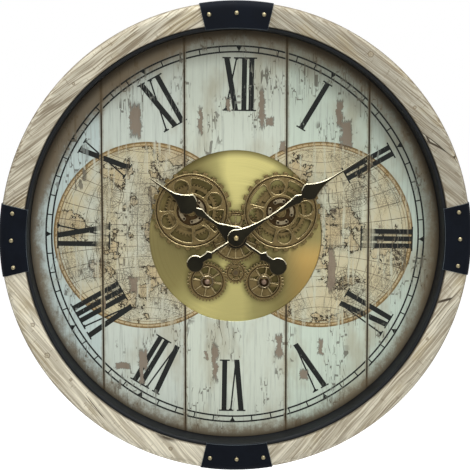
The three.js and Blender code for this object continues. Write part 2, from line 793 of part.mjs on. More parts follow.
function makeLowerGear(name) {
  const collarTop = trainFront + LOWER_COLLAR_HEIGHT;
  const body = slab(meshingOutline(LOWER_TEETH, TRAIN_MODULE), TRAIN_BACK, trainFront);
  const collar = disc(LOWER_COLLAR_R, TRAIN_BACK, collarTop, HUB_FACETS);
  const windows = windowCutters(LOWER_WINDOWS, LOWER_COLLAR_R, lowerR);
  const cup = disc(LOWER_COLLAR_BORE_R, trainFront, collarTop + CUT_MARGIN, HUB_FACETS);
  const hole = bore(AXLE_R + RUNNING_GAP, TRAIN_BACK, trainFront, PIN_FACETS);
  return piece(name, cutBy(joined([body, collar]), [...windows, cup, hole]), FINISH.bronze);
}

function makePinion() {
  const body = slab(meshingOutline(PINION_TEETH, TRAIN_MODULE), TRAIN_BACK, trainFront);
  const lightening = bore(PINION_HOLE_R, TRAIN_BACK, trainFront, RIVET_FACETS);
  const holes = spread(PINION_HOLES, (i, turn) => movedTo(lightening, polar(pinionR / 2, turn)));
  const hole = bore(MOTOR_SHAFT_R + GAP, TRAIN_BACK, trainFront, PIN_FACETS);
  return piece('drive_pinion', cutBy(body, [...holes, hole]), FINISH.bronze);
}

// Axle riveted in the plate, with a shoulder behind its gear and a cap in front
function makeAxle(name, spot, top, capR, finish) {
  const capBase = top + GAP;
  const axle = turned([
    [0, plateBack - GAP - AXLE_RIVET_HEIGHT],
    [AXLE_RIVET_R, plateBack - GAP - AXLE_RIVET_HEIGHT],
    [AXLE_RIVET_R, plateBack - GAP],
    [AXLE_R, plateBack - GAP],
    [AXLE_R, plateFront + GAP],
    [AXLE_SHOULDER_R, plateFront + GAP],
    [AXLE_SHOULDER_R, shoulderTop],
    [AXLE_R, shoulderTop],
    [AXLE_R, capBase],
    [capR, capBase],
    [capR, capBase + AXLE_CAP_HEIGHT * 0.5],
    [capR * 0.6, capBase + AXLE_CAP_HEIGHT],
    [0, capBase + AXLE_CAP_HEIGHT],
  ], PIN_FACETS);
  return piece(name, movedTo(axle, spot), finish);
}

function wheelWindows() {
  const low = WHEEL_BACK - CUT_MARGIN;
  const high = wheelFront + CUT_MARGIN;
  const window = slab(sector(WHEEL_HUB_R, WHEEL_RIM_INNER_R, WHEEL_WINDOW_HALF_ANGLE), low, high);
  const hole = movedTo(disc(WHEEL_HOLE_R, low, high, HUB_FACETS), [WHEEL_HOLE_CIRCLE_R, 0]);
  return spread(4, (i, turn) => [spun(hole, turn), spun(window, turn + 45)]).flat();
}

// Large wheel with block teeth, round and fan-shaped windows and a recessed hub
function makeWheel(name) {
  const rootR = WHEEL_TIP_R - WHEEL_TOOTH_HEIGHT;
  const pitch = 360 / WHEEL_TEETH;
  const outline = toothedOutline(
    WHEEL_TEETH,
    WHEEL_TIP_R,
    rootR,
    pitch * WHEEL_TIP_SHARE,
    pitch * WHEEL_ROOT_SHARE,
  );
  const flange = slab(outline, WHEEL_BACK, WHEEL_BACK + WHEEL_TOOTH_THICK);
  const face = disc(rootR - WHEEL_TOOTH_LEDGE, WHEEL_BACK, wheelFront, PLATE_FACETS);
  const body = joined([flange, face]);
  const recess = ring(
    WHEEL_BOSS_R,
    WHEEL_HUB_R - WHEEL_HUB_WALL,
    wheelFront - WHEEL_HUB_RECESS,
    wheelFront + CUT_MARGIN,
    HUB_FACETS,
  );
  const hole = bore(AXLE_R + RUNNING_GAP, WHEEL_BACK, wheelFront, PIN_FACETS);
  return piece(name, cutBy(body, [...wheelWindows(), recess, hole]), FINISH.brass);
}

// Plate in the hub's recess with four links, each over a pair of screw heads
function makeHubPlate(name) {
  const floor = wheelFront - WHEEL_HUB_RECESS + GAP;
  const top = floor + HUB_PLATE_THICK;
  const outer = WHEEL_HUB_R - WHEEL_HUB_WALL - GAP;
  const plate = ring(WHEEL_BOSS_R + GAP, outer, floor, top, HUB_FACETS);
  const linkHalfSpan = HUB_SCREW_SPREAD + degreesOf(HUB_LINK_HALF * 0.8, HUB_SCREW_CIRCLE_R);
  const link = slab(
    sector(
      HUB_SCREW_CIRCLE_R - HUB_LINK_HALF,
      HUB_SCREW_CIRCLE_R + HUB_LINK_HALF,
      linkHalfSpan,
    ),
    floor,
    top + HUB_LINK_HEIGHT,
  );
  const head = disc(HUB_SCREW_R, floor, top + HUB_SCREW_HEIGHT, RIVET_FACETS);
  const links = spread(4, (i, turn) => spun(link, turn));
  const heads = spread(4, (i, turn) => [-HUB_SCREW_SPREAD, HUB_SCREW_SPREAD]
    .map((side) => movedTo(head, polar(HUB_SCREW_CIRCLE_R, turn + side)))).flat();
  return piece(name, joined([plate, ...links, ...heads]), FINISH.steel);
}

// Sleeve on the plate that the centre gear runs on
function makeCentreSleeve() {
  const sleeve = joined([
    disc(SLEEVE_SHOULDER_R, plateFront + GAP, shoulderTop, HUB_FACETS),
    disc(SLEEVE_R, plateFront + GAP, sleeveTop, HUB_FACETS),
  ]);
  const hole = bore(BUSHING_R + GAP, plateFront, sleeveTop, PIN_FACETS);
  return piece('centre_sleeve', cutBy(sleeve, [hole]), FINISH.steel);
}

// Flanged nut on the bushing, which clamps the movement and the sleeve to the plate
function makeMovementNut() {
  const base = sleeveTop + GAP;
  const nut = joined([
    disc(NUT_FLANGE_R, base, base + NUT_FLANGE_THICK, HUB_FACETS),
    disc(NUT_HEX_R, base, base + NUT_HEIGHT, 6),
  ]);
  const hole = bore(BUSHING_R + GAP, base, base + NUT_HEIGHT, PIN_FACETS);
  return piece('movement_nut', cutBy(nut, [hole]), FINISH.steel);
}

// Case open at the back, with a rib beside the cell and the bushing for the hands' shafts
function makeMovementCase() {
  const inside = MOVEMENT_HALF_WIDTH - MOVEMENT_WALL;
  const cavityFront = movementFront - MOVEMENT_WALL;
  const shell = joined([
    box(
      -MOVEMENT_HALF_WIDTH,
      MOVEMENT_HALF_WIDTH,
      MOVEMENT_BOTTOM,
      movementTop,
      movementBack,
      movementFront,
    ),
    disc(BUSHING_R, movementFront - MOVEMENT_WALL, BUSHING_FRONT, PIN_FACETS),
  ]);
  const cavityTop = movementTop - MOVEMENT_WALL;
  const cavityBottom = MOVEMENT_BOTTOM + MOVEMENT_WALL;
  const openBack = movementBack - CUT_MARGIN;
  const works = box(-inside, inside, cavityBottom, cellRibZ, openBack, cavityFront);
  const cell = box(
    -inside,
    inside,
    cellRibZ + MOVEMENT_WALL,
    cavityTop,
    openBack,
    cavityFront,
  );
  const hole = disc(
    HOUR_TUBE_R + RUNNING_GAP,
    cavityFront - CUT_MARGIN,
    BUSHING_FRONT + CUT_MARGIN,
    PIN_FACETS,
  );
  return piece('movement_case', cutBy(shell, [works, cell, hole]), FINISH.plastic);
}

// Lid of the works, with a hole that the setting knob stands in
function makeMovementCover() {
  const half = MOVEMENT_HALF_WIDTH - MOVEMENT_WALL - GAP;
  const bottom = MOVEMENT_BOTTOM + MOVEMENT_WALL + GAP;
  const top = cellRibZ - GAP;
  const lid = box(-half, half, bottom, top, movementBack, movementBack + MOVEMENT_WALL);
  const pivotFront = MOTION_WHEEL_BACK - ARBOR_PIVOT_DEPTH;
  const pivot = disc(ARBOR_R + MOVEMENT_WALL, movementBack, pivotFront, PIN_FACETS);
  const knobHole = movedTo(
    bore(KNOB_R + RUNNING_GAP, movementBack, movementFront, HUB_FACETS),
    [0, motionZ],
  );
  return piece('movement_cover', cutBy(joined([lid, pivot]), [knobHole]), FINISH.plastic);
}

function makeHourTube() {
  const wheelFrontFace = HOUR_WHEEL_BACK + MOTION_WHEEL_THICK;
  const wheel = slab(
    meshingOutline(HOUR_WHEEL_TEETH, HOUR_MODULE, MOTION_BACKLASH),
    HOUR_WHEEL_BACK,
    wheelFrontFace,
  );
  const tube = disc(HOUR_TUBE_R, HOUR_WHEEL_BACK, HOUR_HAND_BACK + HAND_THICK, PIN_FACETS);
  const hole = bore(HOUR_TUBE_BORE_R, HOUR_WHEEL_BACK, MINUTE_HAND_BACK, PIN_FACETS);
  return piece('hour_tube', cutBy(joined([wheel, tube]), [hole]), FINISH.steel);
}

// Minute shaft with its pinion behind the hour wheel
function makeMinuteArbor() {
  const pinionFront = MOTION_WHEEL_BACK + MOTION_WHEEL_THICK;
  const pinion = slab(
    meshingOutline(MOTION_SMALL_TEETH, motionModule, MOTION_BACKLASH),
    MOTION_WHEEL_BACK,
    pinionFront,
  );
  const back = MOTION_WHEEL_BACK - ARBOR_PIVOT_DEPTH + GAP;
  const front = MINUTE_HAND_BACK + HAND_THICK + CAP_NUT_HEIGHT * 0.6;
  const shaft = disc(ARBOR_R, back, front, PIN_FACETS);
  const turn = meshTurn(0, MOTION_SMALL_TEETH, MOTION_LARGE_TEETH, 90);
  return {
    mesh: piece('minute_arbor', joined([pinion, shaft]), FINISH.steel),
    motionTurn: turn,
  };
}

// Wheel and pinion between the minute shaft and the hour wheel, in one piece with the setting
// knob, which stands through the cover and is turned by hand
function makeSettingWheel(turn) {
  const wheel = spun(slab(
    meshingOutline(MOTION_LARGE_TEETH, motionModule, MOTION_BACKLASH),
    MOTION_WHEEL_BACK,
    MOTION_WHEEL_BACK + MOTION_WHEEL_THICK,
  ), turn);
  const pinion = slab(
    meshingOutline(MOTION_SMALL_TEETH, HOUR_MODULE, MOTION_BACKLASH),
    MOTION_WHEEL_BACK,
    HOUR_WHEEL_BACK + MOTION_WHEEL_THICK,
  );
  const knobBack = movementBack - KNOB_THICK;
  const shaftFront = movementFront - MOVEMENT_WALL - GAP;
  const shaft = disc(ARBOR_R, knobBack, shaftFront, PIN_FACETS);
  const knobOutline = toothedOutline(
    KNOB_TEETH,
    KNOB_R,
    KNOB_R - KNOB_TOOTH_DEPTH,
    KNOB_TIP_HALF_ANGLE,
    KNOB_ROOT_HALF_ANGLE,
  );
  const knob = slab(knobOutline, knobBack, movementBack + MOVEMENT_WALL);
  const whole = joined([wheel, pinion, shaft, knob]);
  return piece('setting_wheel', movedTo(whole, [0, motionZ]), FINISH.plastic);
}

// AA cell standing along Z, centred on the origin
function makeCellSolid() {
  const half = CELL_LENGTH / 2;
  const cell = turned([
    [0, -half],
    [CELL_R, -half],
    [CELL_R, half],
    [CELL_NUB_R, half],
    [CELL_NUB_R, half + CELL_NUB_HEIGHT],
    [0, half + CELL_NUB_HEIGHT],
  ], HUB_FACETS);
  return cell.rotate([-90, 0, 0]);
}

function makeMovementCell() {
  const cellHeight = movementFront - MOVEMENT_WALL - GAP - CELL_R;
  const cellZ = movementTop - MOVEMENT_WALL - GAP - CELL_R;
  const cell = makeCellSolid().rotate([0, 90, 0]).translate([0, -cellHeight, cellZ]);
  return piece('movement_cell', cell, FINISH.cell);
}

function quarterPoints(from, control, to) {
  const curve = new THREE.QuadraticBezierCurve(
    new THREE.Vector2(...from),
    new THREE.Vector2(...control),
    new THREE.Vector2(...to),
  );
  return curve.getPoints(CURVE_STEPS).map((point) => [point.x, point.y]);
}

function arcPoints(centreZ, radius, fromDegrees, toDegrees, steps) {
  const points = [];
  for (let i = 0; i <= steps; i += 1) {
    const [x, z] = polar(radius, fromDegrees + ((toDegrees - fromDegrees) / steps) * i);
    points.push([x, z + centreZ]);
  }
  return points;
}

// Right half of a hand that points up: needle, leaf, collar, waist, hub, knot and tail ball
function handSide(hand) {
  const knotRise = hand.knotHalf;
  const ballTopAngle = 90 - degreesOf(hand.neckHalf, hand.ballR);
  const hubStemAngle = -90 + degreesOf(hand.stemHalf, hand.hubR);
  return [
    [hand.tipHalf, hand.tip],
    [hand.needleHalf, hand.needleStart],
    ...quarterPoints(
      [hand.needleHalf * 1.2, hand.needleStart - 4],
      [hand.needleHalf * 1.5, (hand.needleStart * 0.45 + hand.leafAt * 0.55)],
      [hand.leafHalf, hand.leafAt],
    ),
    ...quarterPoints(
      [hand.leafHalf * 0.97, hand.leafAt - 2],
      [hand.leafHalf * 0.8, hand.notchAt + 3],
      [hand.notchHalf, hand.notchAt],
    ),
    [hand.collarHalf, hand.collarAt],
    ...quarterPoints(
      [hand.collarHalf * 0.9, hand.collarAt - 2],
      [hand.waistHalf, (hand.collarAt + hand.waistAt) / 2],
      [hand.waistHalf, hand.waistAt],
    ),
    ...quarterPoints(
      [hand.waistHalf * 1.1, hand.waistAt - 4],
      [hand.waistHalf * 2, hand.hubR * 1.7],
      polar(hand.hubR, 40),
    ),
    ...arcPoints(0, hand.hubR, 25, hubStemAngle, 8),
    [hand.stemHalf, knotRise * 0.6 - hand.knotAt],
    [hand.knotHalf, -hand.knotAt],
    [hand.neckHalf, -hand.knotAt - knotRise * 0.6],
    ...arcPoints(-hand.ballAt, hand.ballR, ballTopAngle, -75, 9),
  ];
}

function handShape(hand) {
  const right = handSide(hand);
  const left = right.map(([x, z]) => [-x, z]).reverse();
  return shapeOf([...right, ...left]);
}

function makeHand(name, hand, back, shaftR) {
  const blade = slab(handShape(hand), back, back + HAND_THICK);
  const collet = disc(HAND_COLLET_R, back - HAND_COLLET_HEIGHT, back + HAND_THICK, HUB_FACETS);
  const hole = bore(shaftR + GAP, back - HAND_COLLET_HEIGHT, back + HAND_THICK, PIN_FACETS);
  return piece(name, cutBy(joined([blade, collet]), [hole]), FINISH.hand);
}

// Domed nut with a blind hole for the end of the minute shaft
function makeCapNut() {
  const base = MINUTE_HAND_BACK + HAND_THICK + GAP;
  const holeR = ARBOR_R + GAP;
  const nut = turned([
    [holeR, base],
    [CAP_NUT_R, base],
    [CAP_NUT_R, base + CAP_NUT_HEIGHT * 0.6],
    [CAP_NUT_R * 0.7, base + CAP_NUT_HEIGHT * 0.9],
    [0, base + CAP_NUT_HEIGHT],
    [0, base + CAP_NUT_HEIGHT * 0.7],
    [holeR, base + CAP_NUT_HEIGHT * 0.7],
  ], HUB_FACETS);
  return piece('minute_cap_nut', nut, FINISH.rivet);
}

function makeMotor() {
  const back = movementFront - MOTOR_DEPTH;
  const body = roundedBox(
    -MOTOR_HALF_WIDTH,
    MOTOR_HALF_WIDTH,
    pinionZ - MOTOR_HALF_HEIGHT,
    pinionZ + MOTOR_HALF_HEIGHT,
    ACCESS_CORNER_R,
    back,
    movementFront,
  );
  const nose = movedTo(disc(MOTOR_NOSE_R, back, TRAIN_BACK - GAP, PIN_FACETS), at.pinion);
  const hole = movedTo(
    disc(MOTOR_SHAFT_R + RUNNING_GAP, back + BOX_WALL, TRAIN_BACK, PIN_FACETS),
    at.pinion,
  );
  return piece('gear_motor', cutBy(joined([body, nose]), [hole]), FINISH.plastic);
}

function makeMotorShaft() {
  const back = movementFront - MOTOR_DEPTH + BOX_WALL + GAP;
  const shaft = turned([
    [0, back],
    [MOTOR_SHAFT_R, back],
    [MOTOR_SHAFT_R, trainFront + GAP],
    [MOTOR_SHAFT_CAP_R, trainFront + GAP],
    [MOTOR_SHAFT_CAP_R, trainFront + GAP + MOTOR_SHAFT_CAP_HEIGHT],
    [0, trainFront + GAP + MOTOR_SHAFT_CAP_HEIGHT],
  ], PIN_FACETS);
  return piece('motor_shaft', movedTo(shaft, at.pinion), FINISH.steel);
}

const boxFront = BOX_BACK + BOX_DEPTH;
const boxRight = BOX_LEFT + BOX_WIDTH;
const boxTop = BOX_BOTTOM + BOX_HEIGHT;
const cellBayTop = BOX_BOTTOM + BOX_WALL + CELL_LENGTH + CELL_NUB_HEIGHT + 2 * GAP;
const boxMiddleX = (BOX_LEFT + boxRight) / 2;
const switchZ = (cellBayTop + boxTop) / 2;

// Battery box open at the back, with the slide switch's slot above the cell
function makeBatteryBox() {
  const shell = box(BOX_LEFT, boxRight, BOX_BOTTOM, boxTop, BOX_BACK, boxFront);
  const bay = box(
    BOX_LEFT + BOX_WALL,
    boxRight - BOX_WALL,
    BOX_BOTTOM + BOX_WALL,
    cellBayTop,
    BOX_BACK - CUT_MARGIN,
    boxFront - BOX_WALL,
  );
  const slotHalf = SWITCH_STEM_HALF + SWITCH_TRAVEL / 2 + RUNNING_GAP;
  const slotHalfHeight = SWITCH_HALF_HEIGHT + RUNNING_GAP;
  const slot = box(
    boxMiddleX - slotHalf,
    boxMiddleX + slotHalf,
    switchZ - slotHalfHeight,
    switchZ + slotHalfHeight,
    BOX_BACK - CUT_MARGIN,
    BOX_BACK + SWITCH_SLOT_DEPTH,
  );
  return piece('battery_box', cutBy(shell, [bay, slot]), FINISH.plastic);
}

// Slide switch at its off end
function makeSwitch() {
  const middle = boxMiddleX - SWITCH_TRAVEL / 2;
  const bottom = switchZ - SWITCH_HALF_HEIGHT;
  const top = switchZ + SWITCH_HALF_HEIGHT;
  const capHeight = BOX_BACK - GAP;
  const stemEnd = BOX_BACK + SWITCH_SLOT_DEPTH - GAP;
  return piece('power_switch', joined([
    box(
      middle - SWITCH_CAP_HALF,
      middle + SWITCH_CAP_HALF,
      bottom,
      top,
      capHeight - SWITCH_CAP_THICK,
      capHeight,
    ),
    box(
      middle - SWITCH_STEM_HALF,
      middle + SWITCH_STEM_HALF,
      bottom,
      top,
      capHeight - SWITCH_CAP_THICK,
      stemEnd,
    ),
  ]), FINISH.steel);
}

function makeMotorCell() {
  const cellHeight = boxFront - BOX_WALL - GAP - CELL_R;
  const cellZ = BOX_BOTTOM + BOX_WALL + GAP + CELL_LENGTH / 2;
  const cell = makeCellSolid().translate([boxMiddleX, -cellHeight, cellZ]);
  return piece('motor_cell', cell, FINISH.cell);
}

// Pair of wires from the battery box to the motor, clipped along the plate's back
function makeMotorWire() {
  const start = new THREE.Vector3(boxMiddleX, -WIRE_HEIGHT, BOX_BOTTOM - GAP);
  const end = new THREE.Vector3(MOTOR_HALF_WIDTH + GAP, -WIRE_HEIGHT, pinionZ);
  const below = new THREE.Vector3(start.x, -WIRE_HEIGHT, end.z * 0.7);
  const beside = new THREE.Vector3(start.x, -WIRE_HEIGHT, end.z);
  const path = new THREE.CubicBezierCurve3(start, below, beside, end);
  const section = new THREE.Shape();
  section.absarc(0, 0, WIRE_R, 0, Math.PI * 2);
  const geometry = new THREE.ExtrudeGeometry(section, {
    steps: WIRE_STEPS, curveSegments: 4, extrudePath: path, bevelEnabled: false,
  });
  return piece('motor_wire', toSolid(geometry), FINISH.plastic);
}

function groupOf(...meshes) {
  const group = new THREE.Group();
  group.add(...meshes);
  return group;
}

function makeCase() {
  return groupOf(
    makeDrum(),
    makeDialSpacer(),
    ...makeBoards(),
    ...makeStraps(),
    ...makeRivets(),
    makeDialBoard(),
    makeGearPlate(),
    makeBackPanel(),
    makeBatteryDoor(),
    makeHanger(),
    ...makeHangerScrews(),
  );
}

function makeMovement() {
  const arbor = makeMinuteArbor();
  place(arbor.mesh, [0, 0], 0);
  const hourTube = makeHourTube();
  const hourTurn = meshTurn(0, MOTION_SMALL_TEETH, HOUR_WHEEL_TEETH, -90);
  place(hourTube, [0, 0], hourTurn);
  return groupOf(
    makeMovementCase(),
    makeMovementCover(),
    makeMovementNut(),
    hourTube,
    arbor.mesh,
    makeSettingWheel(arbor.motionTurn),
    makeMovementCell(),
  );
}

function makeHands() {
  const hour = makeHand('hour_hand', HOUR_HAND, HOUR_HAND_BACK, HOUR_TUBE_R);
  const minute = makeHand('minute_hand', MINUTE_HAND, MINUTE_HAND_BACK, ARBOR_R);
  return groupOf(
    place(hour, [0, 0], -hourAngle),
    place(minute, [0, 0], -MINUTE_ANGLE),
    makeCapNut(),
  );
}

function makeTrain() {
  const centreTurn = 0;
  const leftTurn = meshTurn(centreTurn, CENTRE_TEETH, DRIVE_TEETH, LEFT_DRIVE_ANGLE);
  const rightTurn = meshTurn(centreTurn, CENTRE_TEETH, DRIVE_TEETH, RIGHT_DRIVE_ANGLE);
  const pinionTurn = meshTurn(centreTurn, CENTRE_TEETH, PINION_TEETH, 270);
  const lowerLeftTurn = meshTurn(pinionTurn, PINION_TEETH, LOWER_TEETH, LOWER_LEFT_ANGLE);
  const lowerRightTurn = meshTurn(pinionTurn, PINION_TEETH, LOWER_TEETH, LOWER_RIGHT_ANGLE);
  return groupOf(
    makeCentreSleeve(),
    place(makeCentreGear(), at.centre, centreTurn),
    place(makeDriveGear('left_drive_gear'), at.left, leftTurn),
    place(makeDriveGear('right_drive_gear'), at.right, rightTurn),
    place(makeWheel('left_wheel'), at.left, 90 - LEFT_WHEEL_TURN),
    place(makeWheel('right_wheel'), at.right, 90 - RIGHT_WHEEL_TURN),
    place(makeHubPlate('left_hub_plate'), at.left, 90 - LEFT_WHEEL_TURN),
    place(makeHubPlate('right_hub_plate'), at.right, 90 - RIGHT_WHEEL_TURN),
    place(makePinion(), at.pinion, pinionTurn),
    place(makeLowerGear('lower_left_gear'), at.lowerLeft, lowerLeftTurn),
    place(makeLowerGear('lower_right_gear'), at.lowerRight, lowerRightTurn),
    makeAxle('left_axle', at.left, wheelFront, AXLE_CAP_R, FINISH.brass),
    makeAxle('right_axle', at.right, wheelFront, AXLE_CAP_R, FINISH.brass),
    makeAxle('lower_left_axle', at.lowerLeft, trainFront, LOWER_CAP_R, FINISH.steel),
    makeAxle('lower_right_axle', at.lowerRight, trainFront, LOWER_CAP_R, FINISH.steel),
  );
}

function makeDrive() {
  return groupOf(
    makeMotor(),
    makeMotorShaft(),
    makeBatteryBox(),
    makeSwitch(),
    makeMotorCell(),
    makeMotorWire(),
  );
}

const clock = new THREE.Group();
clock.name = 'gear_wall_clock';
clock.add(makeCase(), makeMovement(), makeHands(), makeTrain(), makeDrive());

export default clock;
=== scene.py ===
"""Looks of the gear wall clock: ring, dial, gear train, hands, back and studio.

Sizes are given in millimetres and written to the meshes in metres. Heights are distances out from
the wall. Angles of gears run anticlockwise from +X and clock angles run clockwise from 12, both as
seen from the front.
"""

import json
import math
from types import SimpleNamespace

import bmesh
import bpy
from bpy.props import FloatProperty, FloatVectorProperty, IntProperty, PointerProperty
from mathutils import Matrix, Vector, noise
from mathutils.geometry import tessellate_polygon


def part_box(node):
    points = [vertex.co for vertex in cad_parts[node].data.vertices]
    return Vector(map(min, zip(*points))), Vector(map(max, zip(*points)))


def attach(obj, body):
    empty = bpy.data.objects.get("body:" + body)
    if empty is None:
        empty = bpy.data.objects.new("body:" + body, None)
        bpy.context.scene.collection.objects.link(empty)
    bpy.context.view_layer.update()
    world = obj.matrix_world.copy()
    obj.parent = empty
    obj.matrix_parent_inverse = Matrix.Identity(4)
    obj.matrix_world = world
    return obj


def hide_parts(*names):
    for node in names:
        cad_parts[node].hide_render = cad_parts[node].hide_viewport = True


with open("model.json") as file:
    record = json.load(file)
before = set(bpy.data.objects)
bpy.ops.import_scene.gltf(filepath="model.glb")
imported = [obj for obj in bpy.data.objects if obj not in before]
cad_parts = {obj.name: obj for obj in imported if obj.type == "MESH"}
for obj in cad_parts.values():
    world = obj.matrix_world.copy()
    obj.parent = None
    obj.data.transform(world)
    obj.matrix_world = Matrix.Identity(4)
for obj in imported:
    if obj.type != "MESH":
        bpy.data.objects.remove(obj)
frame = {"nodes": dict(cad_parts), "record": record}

bl_info = {
    "name": "Gear Wall Clock",
    "version": (1, 0, 0),
    "blender": (4, 5, 0),
    "location": "3D View > Sidebar > Clock",
    "description": "Makes the ring, dial, gear train, hands and back of a gear wall clock",
    "category": "Object",
}

MM = 0.001
ON_AXIS = 1e-6
QUARTER = math.pi / 2
JOINTS = {joint["name"]: joint for joint in frame["record"]["behaviour"]["joints"]}


def reach(node):
    """Sides of a CAD node in millimetres, with back and front as heights."""
    low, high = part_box(node)
    return {
        "left": low.x / MM,
        "right": high.x / MM,
        "bottom": low.z / MM,
        "top": high.z / MM,
        "back": -high.y / MM,
        "front": -low.y / MM,
    }


def axis_of(joint):
    """Place of a joint's axis, right and up, in millimetres."""
    x, _, z = JOINTS[joint]["pos_m"]
    return x / MM, z / MM


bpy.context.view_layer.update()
BOARD = reach("wood_board_top_right")
DRUM = reach("case_drum")
DIAL = reach("dial_board")
PLATE = reach("gear_plate")
LEFT_AXIS = axis_of("left_wheel_turn")
RIGHT_AXIS = axis_of("right_wheel_turn")
PINION_AXIS = axis_of("pinion_turn")
LOWER_LEFT_AXIS = axis_of("lower_left_turn")
LOWER_RIGHT_AXIS = axis_of("lower_right_turn")
CENTRE_AXIS = axis_of("minute_turn")


def length(name, millimetres, description):
    """Property for a size, kept in metres."""
    return FloatProperty(
        name=name,
        description=description,
        default=millimetres * MM,
        min=0.0,
        unit="LENGTH",
        subtype="DISTANCE",
        precision=5,
    )


def turn(name, degrees, description):
    """Property for an angle."""
    return FloatProperty(
        name=name,
        description=description,
        default=math.radians(degrees),
        unit="ROTATION",
        subtype="ANGLE",
    )


def strength(name, default, description):
    """Property for the strength of a light."""
    return FloatProperty(name=name, description=description, default=default, min=0.0)


def tooth_count(name, count, description):
    """Property for a number of teeth."""
    return IntProperty(name=name, description=description, default=count, min=6)


def linear(red, green, blue):
    """Screen colour from 0 to 255 as the linear colour that shaders use."""
    channels = []
    for value in (red, green, blue):
        share = value / 255
        if share <= 0.04045:
            channels.append(share / 12.92)
        else:
            channels.append(((share + 0.055) / 1.055) ** 2.4)
    return tuple(channels)


def colour(name, screen, description):
    """Property for a colour, given as a screen colour."""
    return FloatVectorProperty(
        name=name,
        description=description,
        default=linear(*screen),
        min=0.0,
        max=1.0,
        size=3,
        subtype="COLOR",
    )


class RingSizes(bpy.types.PropertyGroup):
    """Wooden ring, straps and drum."""

    inner: length("Inner radius", 273.0, "Inner radius of the wooden boards")
    outer: length("Outer radius", BOARD["right"], "Outer radius of the wooden boards")
    rounding: length("Rounding", 9.0, "Radius of the rounded outer edge")
    play: length("Play", 0.3, "Play between the boards and what is fixed to them")
    joint_gap: length("Joint gap", 0.3, "Gap between two boards")
    waviness: length("Waviness", 0.16, "Depth of the planed unevenness")
    strap_thick: length("Strap thickness", 1.2, "Thickness of the strap's sheet")
    strap_inner_half: length("Strap inner half width", 39.8, "Half width at the inner edge")
    strap_outer_half: length("Strap outer half width", 47.9, "Half width at the outer edge")
    rivet_circle: length("Rivet circle", 287.6, "Radius of the circle of rivets")
    rivet_pitch: turn("Rivet pitch", 6.93, "Angle between two rivets of one strap")
    rivet_radius: length("Rivet head radius", 2.8, "Radius of a rivet's head")
    rivet_height: length("Rivet head height", 1.7, "Height of a rivet's head")
    lip_wall: length("Drum wall", 4.5, "Thickness of the drum's wall")


class DialSizes(bpy.types.PropertyGroup):
    """Dial board and its print."""

    radius: length("Radius", DIAL["right"], "Radius of the dial board")
    window: length("Window", 113.0, "Radius of the window over the gears")
    groove_half: length("Groove half width", 1.0, "Half width of the grooves between planks")
    groove_depth: length("Groove depth", 1.0, "Depth of the grooves between planks")
    ink_lift: length("Ink thickness", 0.1, "Thickness of the printed ink")
    print_turn: turn("Print turn", 1.0, "How far the print sits clockwise of upright")
    numeral_inner: length("Numeral foot", 163.8, "Radius of the numerals' feet")
    numeral_outer: length("Numeral head", 233.0, "Radius of the numerals' heads")
    thick_stroke: length("Thick stroke", 6.6, "Width of a numeral's thick strokes")
    thin_stroke: length("Thin stroke", 1.8, "Width of a numeral's thin strokes")
    track_inner: length("Track inner line", 240.0, "Radius of the minute track's inner line")
    track_outer: length("Track outer line", 247.4, "Radius of the minute track's outer line")
    track_line: length("Track line", 2.1, "Width of the minute track's lines")
    tick_width: length("Tick width", 1.5, "Width of a minute tick")
    wedge_radius: length("Wedge radius", 4.6, "Radius over the corners of an hour wedge")


class GearSizes(bpy.types.PropertyGroup):
    """Fine gear train and the two large wheels."""

    module: length("Module", 1.4, "Pitch diameter for each tooth of the fine gears")
    centre_teeth: tooth_count("Centre teeth", 48, "Teeth of the centre gear")
    drive_teeth: tooth_count("Drive teeth", 48, "Teeth of the drive gears")
    pinion_teeth: tooth_count("Pinion teeth", 20, "Teeth of the pinion")
    lower_teeth: tooth_count("Lower teeth", 36, "Teeth of the lower gears")
    edge: length("Edge bevel", 0.35, "Width of the rubbed edges of the fine gears")
    web_drop: length("Web drop", 0.7, "How far the webs lie behind the rims")
    wheel_teeth: tooth_count("Wheel teeth", 24, "Teeth of a large wheel")
    wheel_tip: length("Wheel radius", 52.2, "Radius over the large wheel's teeth")
    wheel_edge: length("Wheel edge bevel", 0.7, "Width of the rubbed edges of the large wheels")


class HandSizes(bpy.types.PropertyGroup):
    """Hands."""

    thick: length("Thickness", 1.8, "Thickness of a hand's blade")
    edge: length("Edge bevel", 1.0, "Width of the bright bevel round a hand")
    minute_angle: turn("Minute angle", 57.9, "Angle of the minute hand at rest")
    hour_angle: turn("Hour angle", 304.825, "Angle of the hour hand at rest")


